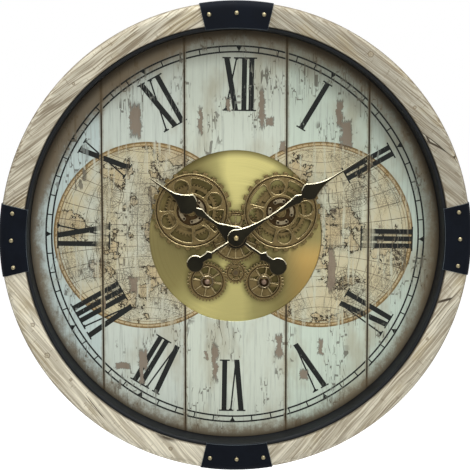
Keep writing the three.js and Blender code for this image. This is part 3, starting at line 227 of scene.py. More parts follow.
class Finishes(bpy.types.PropertyGroup):
    """Colours of the finishes."""

    wood_pale: colour("Whitewash", (204, 198, 178), "Palest whitewashed wood")
    wood_middle: colour("Wood", (184, 175, 152), "Middle tone of the wood")
    wood_dark: colour("Wood grain", (112, 98, 76), "Dark grain of the wood")
    wood_tan: colour("Bare wood", (164, 148, 110), "Places where the whitewash is thin")
    strap: colour("Strap", (13, 17, 24), "Powder coat of the straps")
    strap_edge: colour("Strap edge", (92, 101, 106), "Rubbed edge of the straps")
    drum: colour("Drum", (17, 20, 23), "Paint of the drum")
    rivet: colour("Rivet", (158, 148, 118), "Plating of the rivets")
    paint: colour("Dial paint", (194, 202, 190), "Paint of the dial board")
    # Also the colour of the painted shadow of the ring near the dial's edge.
    stain_and_shadow: colour("Dial stain", (110, 95, 72), "Stain round the dial's edge")
    chip: colour("Chip", (128, 114, 98), "Bare board where paint came off")
    ink: colour("Ink", (30, 32, 30), "Print on the dial")
    chart_paper: colour("Chart paper", (192, 182, 148), "Ground of the two charts")
    chart_gold: colour("Chart border", (172, 140, 86), "Border of the two charts")
    chart_line: colour("Chart line", (66, 56, 42), "Fine lines of the two charts")
    brass: colour("Brass", (226, 216, 142), "Spun brass of the gear plate")
    bronze: colour("Bronze", (116, 100, 66), "Dark antique metal of the gears")
    bronze_edge: colour("Rubbed edge", (174, 158, 118), "Rubbed edges of the gears")
    steel: colour("Steel", (150, 137, 110), "Worn steel of nuts, pins and links")
    hand: colour("Hand", (29, 27, 18), "Paint of the hands")
    hand_edge: colour("Hand edge", (238, 230, 200), "Bright bevels of the hands")
    board_back: colour("Back board", (58, 47, 38), "Stained hardboard of the back")
    plastic: colour("Plastic", (34, 35, 37), "Moulded plastic")


class StageSettings(bpy.types.PropertyGroup):
    """Camera and light."""

    azimuth: turn("Azimuth", -1.8, "Angle of the camera round the clock")
    elevation: turn("Elevation", 6.4, "Angle of the camera above the clock's middle")
    distance: length("Distance", 1800.0, "Distance from the camera to the ring's face")
    aim_left: length("Aim left", 2.1, "How far left of the ring's middle the camera aims")
    aim_up: length("Aim up", 6.3, "How far above the ring's middle the camera aims")
    lens: FloatProperty(name="Lens", description="Focal length", default=107.6, unit="CAMERA")
    key_power: strength("Key light", 26.0, "Power of the main lamp")
    strip_power: strength("Strip light", 50.0, "Power of the overhead strip")
    ambient: strength("Ambient", 0.5, "Strength of the room's light")
    floor_level: FloatProperty(
        name="Floor",
        description="Height of the floor",
        default=-0.9,
        unit="LENGTH",
        subtype="DISTANCE",
    )


PLANK_EDGES = (-174.2, -66.5, 66.5, 174.2)
PLANKS_HALF = 270.0
PLANK_TINTS = (
    (0.93, 1.0, 1.08), (1.0, 1.0, 1.0), (1.03, 1.02, 0.98), (0.97, 1.02, 0.97), (0.92, 0.98, 0.95),
)
GRAIN_DEGREES = {"top_right": -38.0, "top_left": 36.0, "bottom_left": -50.0, "bottom_right": 50.0}
BOARD_SHADES = {"top_right": 0.58, "top_left": 0.80, "bottom_left": 1.04, "bottom_right": 0.88}
BOARD_GRAIN = {"top_right": 0.85, "top_left": 1.0, "bottom_left": 0.45, "bottom_right": 0.7}
KNOTS = (
    (170.0, 236.0, 4.2), (227.0, 169.0, 2.6), (-262.0, -109.0, 3.2), (-244.0, -149.0, 3.8),
    (-214.0, -181.0, 2.2), (-86.0, -273.0, 2.6), (-206.0, 199.0, 2.4), (247.0, -130.0, 2.4),
)


def polar(radius, degrees):
    """Point on a circle, anticlockwise from +X."""
    angle = math.radians(degrees)
    return radius * math.cos(angle), radius * math.sin(angle)


def arc(radius, start, end, steps, centre=(0.0, 0.0)):
    """Points along an arc, ends included."""
    points = []
    for step in range(steps + 1):
        x, z = polar(radius, start + (end - start) * step / steps)
        points.append((x + centre[0], z + centre[1]))
    return points


def circle(radius, facets, centre=(0.0, 0.0)):
    """Closed circle of points."""
    return arc(radius, 0.0, 360.0, facets, centre)[:-1]


def sector(inner, outer, half_angle, steps):
    """Fan-shaped window centred on +X."""
    return arc(outer, -half_angle, half_angle, steps) + arc(inner, half_angle, -half_angle, steps)


def turned(points, degrees, centre=(0.0, 0.0)):
    """Points turned anticlockwise about the origin, then moved to a centre."""
    angle = math.radians(degrees)
    cos, sin = math.cos(angle), math.sin(angle)
    return [(x * cos - z * sin + centre[0], x * sin + z * cos + centre[1]) for x, z in points]


def signed_area(points):
    """Area of a loop, positive where it runs anticlockwise."""
    total = 0.0
    for (x0, z0), (x1, z1) in zip(points, points[1:] + points[:1]):
        total += x0 * z1 - x1 * z0
    return total / 2


def inset(points, distance):
    """Loop moved to its left by a distance, with mitred corners."""
    moved = []
    count = len(points)
    for i, here in enumerate(points):
        here = Vector(here)
        along_in = (here - Vector(points[i - 1])).normalized()
        along_out = (Vector(points[(i + 1) % count]) - here).normalized()
        left_in = Vector((-along_in.y, along_in.x))
        left_out = Vector((-along_out.y, along_out.x))
        middle = left_in + left_out
        if middle.length < 1e-6:
            middle = left_in.copy()
        middle.normalize()
        moved.append(tuple(here + middle * (distance / max(middle.dot(left_in), 0.4))))
    return moved


class Shell:
    """Closed surfaces of one piece while it is being made, in millimetres."""

    def __init__(self):
        self.points = []
        self.faces = []
        self.slots = []

    def add_points(self, places):
        """Adds (right, up, height) points and returns their numbers."""
        start = len(self.points)
        self.points.extend(places)
        return list(range(start, len(self.points)))

    def add_face(self, corners, slot=0):
        """Adds one face with the number of its material."""
        self.faces.append(tuple(corners))
        self.slots.append(slot)

    def strip(self, lower, upper, slot=0):
        """Wall of faces between two closed rows; the slot may be a rule for each edge."""
        count = len(lower)
        for i in range(count):
            j = (i + 1) % count
            chosen = slot
            if callable(slot):
                chosen = slot(self.points[lower[i]], self.points[lower[j]])
            self.add_face((lower[i], lower[j], upper[j], upper[i]), chosen)

    def sweep(self, rows):
        """Solid through rows of points that each go once round the same section."""
        rows = [self.add_points(row) for row in rows]
        for lower, upper in zip(rows, rows[1:]):
            self.strip(lower, upper)
        self.add_face(rows[0][::-1])
        self.add_face(rows[-1])

    def lid(self, loops, height, slot, upward):
        """Flat face with holes, facing out from the wall or towards it."""
        rows = [self.add_points([(x, z, height) for x, z in loop]) for loop in loops]
        flat = [place for loop in loops for place in loop]
        numbers = [number for row in rows for number in row]
        outlines = [[Vector((x, z, 0.0)) for x, z in loop] for loop in loops]
        for a, b, c in tessellate_polygon(outlines):
            area = signed_area([flat[a], flat[b], flat[c]])
            if abs(area) < 1e-9:
                continue
            corners = (numbers[a], numbers[b], numbers[c])
            if (area > 0) != upward:
                corners = corners[::-1]
            self.add_face(corners, slot)
        return rows

    def slab(self, loops, low, high, bevel=0.0, slot=0, edge_slot=None, wall_slot=None, tops=None):
        """Plate with holes: the first loop is its outline and the others are holes."""
        if edge_slot is None:
            edge_slot = slot
        if wall_slot is None:
            wall_slot = slot
        if tops is None:
            tops = [None] * len(loops)
        ordered = []
        upper_loops = []
        for i, (loop, top) in enumerate(zip(loops, tops)):
            loop = list(loop)
            if (signed_area(loop) > 0) != (i == 0):
                loop.reverse()
                top = top and top[::-1]
            ordered.append(loop)
            upper_loops.append(top or (inset(loop, bevel) if bevel else loop))
        top_rows = self.lid(upper_loops, high, slot, True)
        lower_rows = self.lid(ordered, low, slot, False)
        for loop, top_row, lower in zip(ordered, top_rows, lower_rows):
            upper = top_row
            if bevel:
                upper = self.add_points([(x, z, high - bevel) for x, z in loop])
                self.strip(upper, top_row, edge_slot)
            self.strip(lower, upper, wall_slot)

    def lathe(self, section, facets, centre=(0.0, 0.0)):
        """Section of (radius, height) turned about an axis that stands out from the wall."""
        section = list(section)
        if signed_area(section) < 0:
            section.reverse()
        rows = []
        for radius, height in section:
            if radius < ON_AXIS:
                rows.append(self.add_points([(*centre, height)]) * facets)
            else:
                ring = circle(radius, facets, centre)
                rows.append(self.add_points([(x, z, height) for x, z in ring]))
        count = len(section)
        closed = section[0][0] > ON_AXIS or section[-1][0] > ON_AXIS
        for i in range(count if closed else count - 1):
            start, end = rows[i], rows[(i + 1) % count]
            for k in range(facets):
                n = (k + 1) % facets
                corners = list(dict.fromkeys((start[k], start[n], end[n], end[k])))
                if len(corners) > 2:
                    self.add_face(corners)

    def finish(self, name, materials, sharp=32.0, weld=True):
        """Mesh object in metres, at the origin and linked to the scene."""
        mesh = bpy.data.meshes.new(name)
        places = [(x * MM, -height * MM, z * MM) for x, z, height in self.points]
        mesh.from_pydata(places, [], self.faces)
        for material in materials:
            mesh.materials.append(material)
        for polygon, slot in zip(mesh.polygons, self.slots):
            polygon.material_index = slot
            polygon.use_smooth = True
        if weld:
            weld_points(mesh)
        mesh.set_sharp_from_angle(angle=math.radians(sharp))
        piece = bpy.data.objects.new(name, mesh)
        bpy.context.scene.collection.objects.link(piece)
        return piece


def weld_points(mesh):
    """Joins the doubled rows of points that neighbouring walls and lids share."""
    work = bmesh.new()
    work.from_mesh(mesh)
    bmesh.ops.remove_doubles(work, verts=work.verts, dist=1e-7)
    work.to_mesh(mesh)
    work.free()


def with_modifiers(piece):
    """Applies the modifiers of a piece by taking its evaluated mesh."""
    bpy.context.view_layer.update()
    graph = bpy.context.evaluated_depsgraph_get()
    mesh = bpy.data.meshes.new_from_object(piece.evaluated_get(graph))
    piece.modifiers.clear()
    piece.data = mesh
    return piece


def fit(piece, body, slot, *nodes):
    """Puts a piece on its body and hides the CAD nodes it stands for; the slot is not used."""
    if nodes:
        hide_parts(*nodes)
    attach(piece, body)


class Value:
    """Output of a node, which can be reckoned with like a number."""

    def __init__(self, tree, socket):
        self.tree = tree
        self.socket = socket

    def __add__(self, other):
        return self.tree.math("ADD", self, other)

    def __sub__(self, other):
        return self.tree.math("SUBTRACT", self, other)

    def __rsub__(self, other):
        return self.tree.math("SUBTRACT", other, self)

    def __mul__(self, other):
        return self.tree.math("MULTIPLY", self, other)

    def __truediv__(self, other):
        return self.tree.math("DIVIDE", self, other)

    def __abs__(self):
        return self.tree.math("ABSOLUTE", self)


class Tree:
    """Short ways to add and join the nodes of one tree."""

    def __init__(self, tree):
        self.tree = tree

    def add(self, kind, **settings):
        """New node with its settings."""
        node = self.tree.nodes.new(kind)
        for name, value in settings.items():
            setattr(node, name, value)
        return node

    def feed(self, socket, value):
        """Links an output to a socket, or sets the socket's own value."""
        if isinstance(value, Value):
            self.tree.links.new(value.socket, socket)
        elif socket.type == "RGBA":
            socket.default_value = (*value, 1.0)
        else:
            socket.default_value = value

    def put(self, kind, inputs=None, output=0, **settings):
        """One output of a new node, with its inputs fed by name or number."""
        node = self.add(kind, **settings)
        for key, value in (inputs or {}).items():
            self.feed(node.inputs[key], value)
        return Value(self, node.outputs[output])

    def outputs(self, kind, **settings):
        """All outputs of a new node by name."""
        node = self.add(kind, **settings)
        return {socket.name: Value(self, socket) for socket in node.outputs}

    def math(self, operation, *values):
        """Result of a Math node."""
        return self.put("ShaderNodeMath", dict(enumerate(values)), operation=operation)

    def vector(self, operation, *values):
        """Result of a Vector Math node."""
        output = "Value" if operation == "LENGTH" else "Vector"
        inputs = dict(enumerate(values))
        return self.put("ShaderNodeVectorMath", inputs, output, operation=operation)

    def most(self, first, *others):
        """Largest of some values."""
        for other in others:
            first = self.math("MAXIMUM", first, other)
        return first

    def least(self, first, other):
        """Smaller of two values."""
        return self.math("MINIMUM", first, other)

    def combine(self, x=0.0, y=0.0, z=0.0):
        """Vector from three values."""
        return self.put("ShaderNodeCombineXYZ", {"X": x, "Y": y, "Z": z})

    def distance(self, across, up):
        """Distance from the origin of a place that is so far across and up."""
        return self.vector("LENGTH", self.combine(across, up))

    def split(self, vector):
        """The three values of a vector."""
        node = self.add("ShaderNodeSeparateXYZ")
        self.feed(node.inputs[0], vector)
        return [Value(self, socket) for socket in node.outputs]

    def millimetres(self, rotation=0.0):
        """Object coordinates in millimetres, turned about the clock's axis."""
        place = self.put("ShaderNodeTexCoord", output="Object")
        return self.put("ShaderNodeMapping", {
            "Vector": place, "Scale": (1 / MM, 1 / MM, 1 / MM), "Rotation": (0.0, rotation, 0.0),
        })

    def noise(self, vector, scale, detail=3.0, roughness=0.55):
        """Noise from 0 to 1; the scale may differ by axis."""
        if isinstance(scale, tuple):
            vector = self.vector("MULTIPLY", vector, scale)
            scale = 1.0
        inputs = {"Vector": vector, "Scale": scale, "Detail": detail, "Roughness": roughness}
        return self.put("ShaderNodeTexNoise", inputs, "Fac")

    def cells(self, vector, scale, **settings):
        """Distance in a pattern of stretched cells."""
        place = self.vector("MULTIPLY", vector, scale)
        inputs = {"Vector": place, "Scale": 1.0}
        return self.put("ShaderNodeTexVoronoi", inputs, "Distance", **settings)

    def cracks(self, vector, scale):
        """Distance to the nearest edge of stretched cells."""
        return self.cells(vector, scale, feature="DISTANCE_TO_EDGE")

    def blocks(self, vector, scale):
        """Distance to the edges of upright, square-cornered cells."""
        nearest = self.cells(vector, scale, feature="F1", distance="CHEBYCHEV")
        following = self.cells(vector, scale, feature="F2", distance="CHEBYCHEV")
        return following - nearest

    def ease(self, value, low, high, to_low, to_high):
        """Number that goes smoothly from one size to another while a value crosses two limits."""
        return self.put("ShaderNodeMapRange", {
            "Value": value, "From Min": low, "From Max": high, "To Min": to_low, "To Max": to_high,
        }, "Result", interpolation_type="SMOOTHSTEP")

    def step(self, value, low, high, share=1.0):
        """Share that grows smoothly from 0 while a value crosses two limits."""
        return self.ease(value, low, high, 0.0, share)

    def mix(self, share, a, b):
        """Mix of two colours."""
        return self.put("ShaderNodeMix", {0: share, 6: a, 7: b}, 2, data_type="RGBA")

    def coats(self, tone, *coats):
        """Colour with others laid over it in turn, each by its own share."""
        for share, colour in coats:
            tone = self.mix(share, tone, colour)
        return tone

    def ramp(self, share, stops, constant=False):
        """Colour from a ramp of (position, colour) stops."""
        node = self.add("ShaderNodeValToRGB")
        if constant:
            node.color_ramp.interpolation = "CONSTANT"
        elements = node.color_ramp.elements
        while len(elements) < len(stops):
            elements.new(0.5)
        for element, (position, tone) in zip(elements, stops):
            element.position = position
            element.color = (*tone, 1.0)
        self.feed(node.inputs[0], share)
        return Value(self, node.outputs[0])

    def bump(self, height, distance, strength):
        """Normal from a height in millimetres of relief."""
        inputs = {"Height": height, "Distance": distance * MM, "Strength": strength}
        return self.put("ShaderNodeBump", inputs, "Normal")


class Surface(Tree):
    """Material while its nodes are being made."""

    def __init__(self, name):
        self.material = bpy.data.materials.new(name)
        self.material.use_nodes = True
        super().__init__(self.material.node_tree)

    def dressed(self, **inputs):
        """The material with its shader's inputs fed; an underscore stands for a space."""
        shader = self.tree.nodes["Principled BSDF"]
        for name, value in inputs.items():
            self.feed(shader.inputs[name.replace("_", " ")], value)
        return self.material


def scaled(value, share):
    """Colour made lighter or darker."""
    return tuple(channel * share for channel in value)


def wood_material(board, seed):
    """Whitewashed wood with crisp grain along one direction."""
    looks = bpy.context.scene.clock_finishes
    tree = Surface(f"whitewashed_wood_{board}")
    shade = BOARD_SHADES[board]
    place = tree.millimetres(math.radians(GRAIN_DEGREES[board]))
    place = tree.vector("ADD", place, (seed * 731.0, seed * 57.0, seed * 193.0))
    bend = tree.noise(place, (0.010, 0.02, 0.018), detail=2.0)
    waved = tree.vector("ADD", place, tree.combine(0.0, 0.0, bend * 9.0))
    coarse = tree.noise(waved, (0.005, 0.05, 0.045), detail=2.0, roughness=0.5)
    line = tree.noise(waved, (0.015, 0.3, 0.54), detail=1.0, roughness=0.5)
    ply = tree.noise(waved, (0.010, 0.14, 0.27), detail=1.0, roughness=0.5)
    fine = tree.noise(waved, (0.03, 0.8, 0.9), detail=1.0, roughness=0.5)
    patch = tree.noise(place, (0.014, 0.02, 0.030), detail=4.0)
    pale, middle = scaled(looks.wood_pale, shade), scaled(looks.wood_middle, shade)
    tone = tree.coats(
        middle,
        (tree.step(coarse, 0.30, 0.70), pale),
        (tree.step(patch, 0.52, 0.66, 0.5), looks.wood_tan),
        (tree.step(line, 0.53, 0.61, 0.7), scaled(pale, 1.3)),
    )
    grain = BOARD_GRAIN[board]
    clear = tree.ease(patch, 0.38, 0.50, 0.7 * grain, grain)
    dark = tree.most(
        tree.step(line, 0.48, 0.39, 0.8) * clear,
        tree.step(fine, 0.42, 0.34, 0.5 * grain),
        tree.step(ply, 0.44, 0.36, 0.28),
    )
    nick = tree.noise(place, (0.45, 0.1, 0.07), detail=2.0)
    long_crack = tree.cracks(waved, (0.005, 0.03, 0.055))
    rare = tree.noise(place, (0.010, 0.01, 0.02), detail=1.0)
    crack = tree.step(long_crack, 0.018, 0.007) * tree.step(rare, 0.6, 0.66)
    tone = tree.coats(
        tone,
        (dark, looks.wood_dark),
        (tree.step(nick, 0.65, 0.69, 0.45), looks.wood_dark),
        (crack, scaled(looks.wood_dark, 0.3)),
    )
    x, _, z = tree.split(tree.millimetres())
    for across, up, size in KNOTS:
        away = tree.distance(x - across, z - up) + line * 1.6
        ring = tree.step(abs(away - size), 1.0, 0.4, 0.7)
        heart = tree.step(away, 0.45 * size + 0.5, 0.3 * size, 0.45)
        tone = tree.coats(
            tone,
            (tree.step(away, size, size - 1, 0.25), looks.wood_tan),
            (tree.most(ring, heart), looks.wood_dark),
        )
    radius, outer = tree.distance(x, z), BOARD["right"]
    # Painted shade at the rounded outer edge, where it turns away from the front; a dark line along the
    # inner edge.
    tone = tree.coats(
        tone,
        (tree.step(radius, outer - 2.4, outer - 0.2, 0.75), scaled(looks.wood_dark, 0.6)),
        (tree.step(radius, 274.2, 273.1, 0.7), scaled(looks.wood_dark, 0.4)),
    )
    return tree.dressed(
        Base_Color=tone,
        Roughness=tree.ease(coarse, 0.3, 0.7, 0.62, 0.85),
        Specular_IOR_Level=0.25,
        Normal=tree.bump(line + fine * 0.4 - crack, 0.3, 0.5),
    )


def painted_material(name, tone, roughness, mottle=0.25, grain=0.6, depth=0.05, specular=0.12):
    """Matt paint with a fine orange-peel surface and faint clouds."""
    tree = Surface(name)
    place = tree.millimetres()
    cloud = tree.noise(place, 0.035, detail=4.0)
    peel = tree.noise(place, grain, detail=2.0)
    dark, pale = scaled(tone, 1 - mottle), scaled(tone, 1 + mottle)
    return tree.dressed(
        Base_Color=tree.mix(tree.step(cloud, 0.3, 0.7), dark, pale),
        Roughness=tree.ease(cloud, 0.3, 0.7, roughness - 0.06, roughness + 0.06),
        Specular_IOR_Level=specular,
        Normal=tree.bump(peel, depth, 0.6),
    )


def metal_material(name, tone, dark, roughness, cloud_scale=0.09, scratch=0.25, amount=0.6):
    """Metal with tarnish clouds and fine scratches."""
    tree = Surface(name)
    place = tree.millimetres()
    cloud = tree.noise(place, cloud_scale, detail=5.0, roughness=0.65)
    spots = tree.noise(place, cloud_scale * 9, detail=3.0, roughness=0.6)
    scratches = tree.noise(place, (0.3, 0.3, 2.4), detail=2.0)
    darkening = tree.step(cloud, 0.40, 0.66) + tree.step(spots, 0.52, 0.72, 0.5)
    dull = tree.ease(cloud, 0.3, 0.7, roughness - 0.08, roughness + 0.12)
    return tree.dressed(
        Base_Color=tree.mix(darkening * amount, tone, dark),
        Metallic=1.0,
        Roughness=dull + tree.step(scratches, 0.5, 0.8, scratch * 0.3),
        Normal=tree.bump(scratches * 0.5 + spots, 0.05, 0.5),
    )


CHIPS = (
    (-130.0, 151.0, 6.0, 19.0), (-45.8, 151.0, 2.6, 15.0), (34.0, 167.0, 2.8, 22.0),
    (45.0, 150.0, 4.5, 5.0), (135.0, 160.0, 3.6, 15.0), (144.0, 134.0, 6.6, 15.0),
    (61.0, 118.0, 3.0, 6.0), (-122.0, -163.0, 5.5, 12.0), (-124.0, -182.0, 2.6, 12.0),
    (-150.0, -171.0, 8.0, 3.4), (-27.5, -166.0, 2.8, 21.0), (57.6, -146.0, 3.6, 13.0),
    (112.0, -147.0, 2.6, 9.0), (90.0, -184.0, 4.0, 6.0), (126.0, -44.0, 4.0, 26.0),
    (-134.0, -64.0, 4.6, 9.0), (-10.0, 172.0, 2.2, 7.0), (-38.0, -158.0, 1.8, 5.0),
)
MEDALLIONS = ((161.0, 55.0, 17.0), (150.0, -66.0, 22.0))


class Chart:
    """Paints the two generic charts: paper, lands, net of lines, roses and a ticked border."""

    radius = 122.5
    across = 113.0
    middle = -2.3
    raised = 1.4

    def __init__(self, tree, place, x, z):
        self.tree = tree
        self.place = place
        self.side = abs(x - self.middle)
        self.x = self.side - self.across
        self.z = z - self.raised
        self.up = z
        self.reach = tree.distance(self.x, self.z)

    def line(self, distance, half):
        """Mask of a line where the distance to it is small."""
        return self.tree.step(distance, half * 1.4, half * 0.6)

    def circle_line(self, radius, half):
        """Mask of a circle about the chart's middle."""
        return self.line(abs(self.reach - radius), half)

    def spokes(self, x, z, count, half):
        """Mask of straight lines that run out from a point."""
        tree = self.tree
        angle = tree.math("ARCTAN2", z, x)
        share = tree.math("FRACT", angle * (count / math.tau))
        gap = (0.5 - abs(share - 0.5)) * (math.tau / count)
        return self.line(gap * tree.distance(x, z), half)

    def ladder(self, share, count, half, spacing):
        """Mask of lines at even steps of a share."""
        part = self.tree.math("FRACT", share * count + 0.5)
        return self.line(abs(part - 0.5) * spacing, half)

    def net(self):
        """Meridians and parallels of a globe drawn flat."""
        tree = self.tree
        x = self.x / self.radius
        z = self.z / self.radius
        flat = x * x + 0.0004
        bulge = flat + z * z - 1.0
        slope = bulge / (tree.math("SQRT", flat) * 2.0)
        root = tree.math("SQRT", slope * slope + 1.0)
        meridian = slope + root
        parallel = z / (flat * 0.83 + 1.0)
        spacing = self.radius / 9
        return tree.most(
            self.ladder(meridian, 9, 0.3, spacing), self.ladder(parallel, 9, 0.3, spacing)
        )

    def roses(self):
        """Small compass roses, each with a ring of rays."""
        tree = self.tree
        marks = 0.0
        for across, up, radius in MEDALLIONS:
            x = self.side - across
            z = self.up - up
            away = tree.distance(x, z)
            rays = self.spokes(x, z, 24, 0.34) * tree.step(away, radius, radius - 1)
            rays = rays * tree.step(away, radius * 0.22, radius * 0.3)
            far = self.spokes(x, z, 16, 0.2) * 0.35
            for share in (1.0, 0.82, 0.26):
                rays = tree.most(rays, self.line(abs(away - radius * share), 0.34))
            marks = tree.most(marks, rays, far)
        return marks

    def paint(self, ground):
        """Chart painted over the dial's ground colour."""
        tree = self.tree
        looks = bpy.context.scene.clock_finishes
        paper, line, gold = looks.chart_paper, looks.chart_line, looks.chart_gold
        inside = self.line(self.reach - (self.radius - 0.5), 0.5)
        age = tree.noise(self.place, (0.02, 0.0, 0.014), detail=4.0)
        land = tree.noise(self.place, 0.021, detail=6.0, roughness=0.62)
        shore = abs(land - 0.545)
        speckle = tree.noise(self.place, (0.55, 0.0, 0.8), detail=4.0, roughness=0.75)
        engraving = tree.step(shore, 0.075, 0.012) * tree.step(speckle, 0.54, 0.58, 0.75)
        hills = tree.noise(self.place, (0.05, 0.0, 0.06), detail=5.0, roughness=0.6)
        region = tree.noise(self.place, (0.022, 0.0, 0.018), detail=2.0)
        contour = self.ladder(hills, 16, 0.075, 0.34) * tree.step(region, 0.45, 0.54, 0.5)
        drawing = tree.most(engraving, self.line(shore, 0.010), contour)
        band = tree.step(self.reach, 117.4, 117.9) * inside
        ticks = self.spokes(self.x, self.z, 96, 0.5)
        ticks = ticks * tree.step(self.reach, 118.6, 118.9) * tree.step(self.reach, 120.9, 120.5)
        for radius, half in ((121.4, 1.1), (117.2, 0.7), (113.4, 0.3)):
            ticks = tree.most(ticks, self.circle_line(radius, half))
        worn = tree.noise(self.place, (0.16, 0.0, 0.012), detail=4.0, roughness=0.6)
        whiter = tree.mix(0.55, paper, ground)
        tone = tree.coats(
            paper,
            (tree.step(age, 0.38, 0.66), whiter),
            (tree.step(land, 0.53, 0.56, 0.33), gold),
            (self.net() * 0.85, line),
            (drawing, scaled(line, 0.5)),
            (self.roses() * 0.75, line),
            (band * 0.48, gold),
            (ticks * 0.95, scaled(gold, 0.42)),
            (tree.step(worn, 0.52, 0.66, 0.75), whiter),
        )
        return tree.mix(inside, ground, tone)


def dial_paint_group():
    """Node group with the dial's colour, relief and wear, shared by the board and the ink."""
    looks = bpy.context.scene.clock_finishes
    group = bpy.data.node_groups.new("dial_paint", "ShaderNodeTree")
    for name, kind in (("Color", "Color"), ("Relief", "Float"), ("Wear", "Float")):
        group.interface.new_socket(name, in_out="OUTPUT", socket_type=f"NodeSocket{kind}")
    tree = Tree(group)
    place = tree.millimetres()
    x, _, z = tree.split(place)
    radius = tree.distance(x, z)
    paint = looks.paint
    starts = (0.0, *((edge + PLANKS_HALF) / (2 * PLANKS_HALF) for edge in PLANK_EDGES))
    stops = [
        (start, tuple(channel * share for channel, share in zip(paint, tint)))
        for start, tint in zip(starts, PLANK_TINTS)
    ]
    ground = tree.ramp((x + PLANKS_HALF) / (2 * PLANKS_HALF), stops, constant=True)
    grain = tree.noise(place, (0.34, 0.0, 0.012), detail=4.0, roughness=0.7)
    cloud = tree.noise(place, (0.022, 0.0, 0.011), detail=4.0)
    ground = tree.coats(
        ground,
        (tree.step(grain, 0.50, 0.66, 0.55), scaled(paint, 0.6)),
        (tree.step(grain, 0.44, 0.32, 0.35), scaled(paint, 1.16)),
        (tree.step(cloud, 0.46, 0.68, 0.55), linear(158, 150, 124)),
    )
    block = tree.blocks(tree.vector("ADD", place, tree.combine(grain * 2.0)), (0.11, 0.0, 0.026))
    sliver = tree.blocks(place, (0.22, 0.0, 0.026))
    where = tree.noise(place, (0.026, 0.0, 0.013), detail=2.0)
    broken = tree.noise(place, (0.07, 0.0, 0.05), detail=2.0)
    wide = tree.step(block, 0.055, 0.025) * tree.step(where, 0.5, 0.58)
    narrow = tree.step(sliver, 0.06, 0.03) * tree.step(where, 0.5, 0.56, 0.95)
    crack = tree.most(wide * tree.step(broken, 0.5, 0.53), narrow * tree.step(broken, 0.5, 0.47))
    ripple = tree.noise(place, (0.11, 0.0, 0.10), detail=5.0, roughness=0.7)
    shift = (ripple - 0.5) * 10.0
    moved = tree.combine(x + shift * 1.6, 0.0, z - shift)
    nearest = 9.0
    for across, up, half, tall in CHIPS:
        away = tree.vector("SUBTRACT", moved, (across, 0.0, up))
        away = tree.vector("ABSOLUTE", tree.vector("MULTIPLY", away, (1 / half, 0.0, 1 / tall)))
        side, _, rise = tree.split(away)
        nearest = tree.least(nearest, tree.most(side, rise))
    nearest = nearest + (grain - 0.5) * 1.6
    stray = tree.noise(place, (0.12, 0.0, 0.030), detail=3.0, roughness=0.55)
    bare = tree.most(tree.step(nearest, 1.05, 0.95), tree.step(stray, 0.71, 0.72))
    rim = tree.step(nearest, 1.35, 1.05) * (1.0 - bare)
    worn = tree.mix(grain, scaled(looks.chip, 0.8), scaled(looks.chip, 1.15))
    gap = 99.0
    for edge in PLANK_EDGES:
        gap = tree.least(gap, abs(x - edge))
    beside = gap + (ripple - 0.5) * 6.0
    smudge = tree.noise(place, (0.06, 0.0, 0.045), detail=8.0, roughness=0.8)
    outer = radius + (smudge - 0.5) * 58.0 + tree.step(z - x, 285.0, 350.0, 14.0)
    # Painted shadow of the ring on the dial: it reaches furthest in at the top and on the right, least
    # at the bottom.
    painted_ring_shadow = radius + tree.step(z, 0.0, 200.0, 24.0)
    painted_ring_shadow = painted_ring_shadow + tree.ease(x, -250.0, 250.0, -10.0, 6.0) + tree.ease(z, -160.0, -20.0, -14.0, 0.0)
    # Painted shade in a narrow band at the very edge, a little wider at the top.
    shade = radius + tree.step(z, -60.0, 200.0, 5.0)
    ground = tree.coats(
        Chart(tree, place, x, z).paint(ground),
        (crack * 0.72, scaled(looks.chip, 0.3)),
        (rim * 0.75, scaled(looks.chip, 0.3)),
        (bare * 0.92, worn),
        (tree.step(beside, 4.2, 0.8, 0.55), scaled(looks.stain_and_shadow, 1.3)),
        (tree.step(gap, 1.15, 0.8), scaled(looks.stain_and_shadow, 0.22)),
        (tree.step(painted_ring_shadow, 238.0, 268.0, 0.57), scaled(looks.stain_and_shadow, 0.45)),
        (tree.step(outer, 245.0, 265.0, 0.85), looks.stain_and_shadow),
        (tree.step(shade, 259.0, 271.0, 0.85), scaled(looks.stain_and_shadow, 0.2)),
    )
    faded = tree.step(beside, 3.0, 1.6, 0.75)
    level = tree.step(abs(z), 26.0, 18.0) * tree.step(beside, 10.0, 5.0, 0.6)
    rubbed = tree.noise(place, (0.42, 0.0, 0.10), detail=4.0, roughness=0.7)
    wear = tree.most(bare, faded, level, tree.step(rubbed, 0.64, 0.72, 0.75), crack * 0.8)
    relief = grain * 0.35 + bare * -0.8 - crack * 0.7
    out = tree.add("NodeGroupOutput")
    for socket, value in zip(out.inputs, (ground, relief, wear)):
        tree.feed(socket, value)
    return group


def dial_material(group, name, inked):
    """Painted dial board, with or without ink on it."""
    tree = Surface(name)
    paint = tree.outputs("ShaderNodeGroup", node_tree=group)
    tone = paint["Color"]
    if inked:
        tone = tree.mix(paint["Wear"], bpy.context.scene.clock_finishes.ink, tone)
    return tree.dressed(
        Base_Color=tone,
        Roughness=tree.ease(paint["Wear"], 0.0, 1.0, 0.55, 0.85),
        Specular_IOR_Level=0.15,
        Normal=tree.bump(paint["Relief"], 0.25, 0.7),
    )


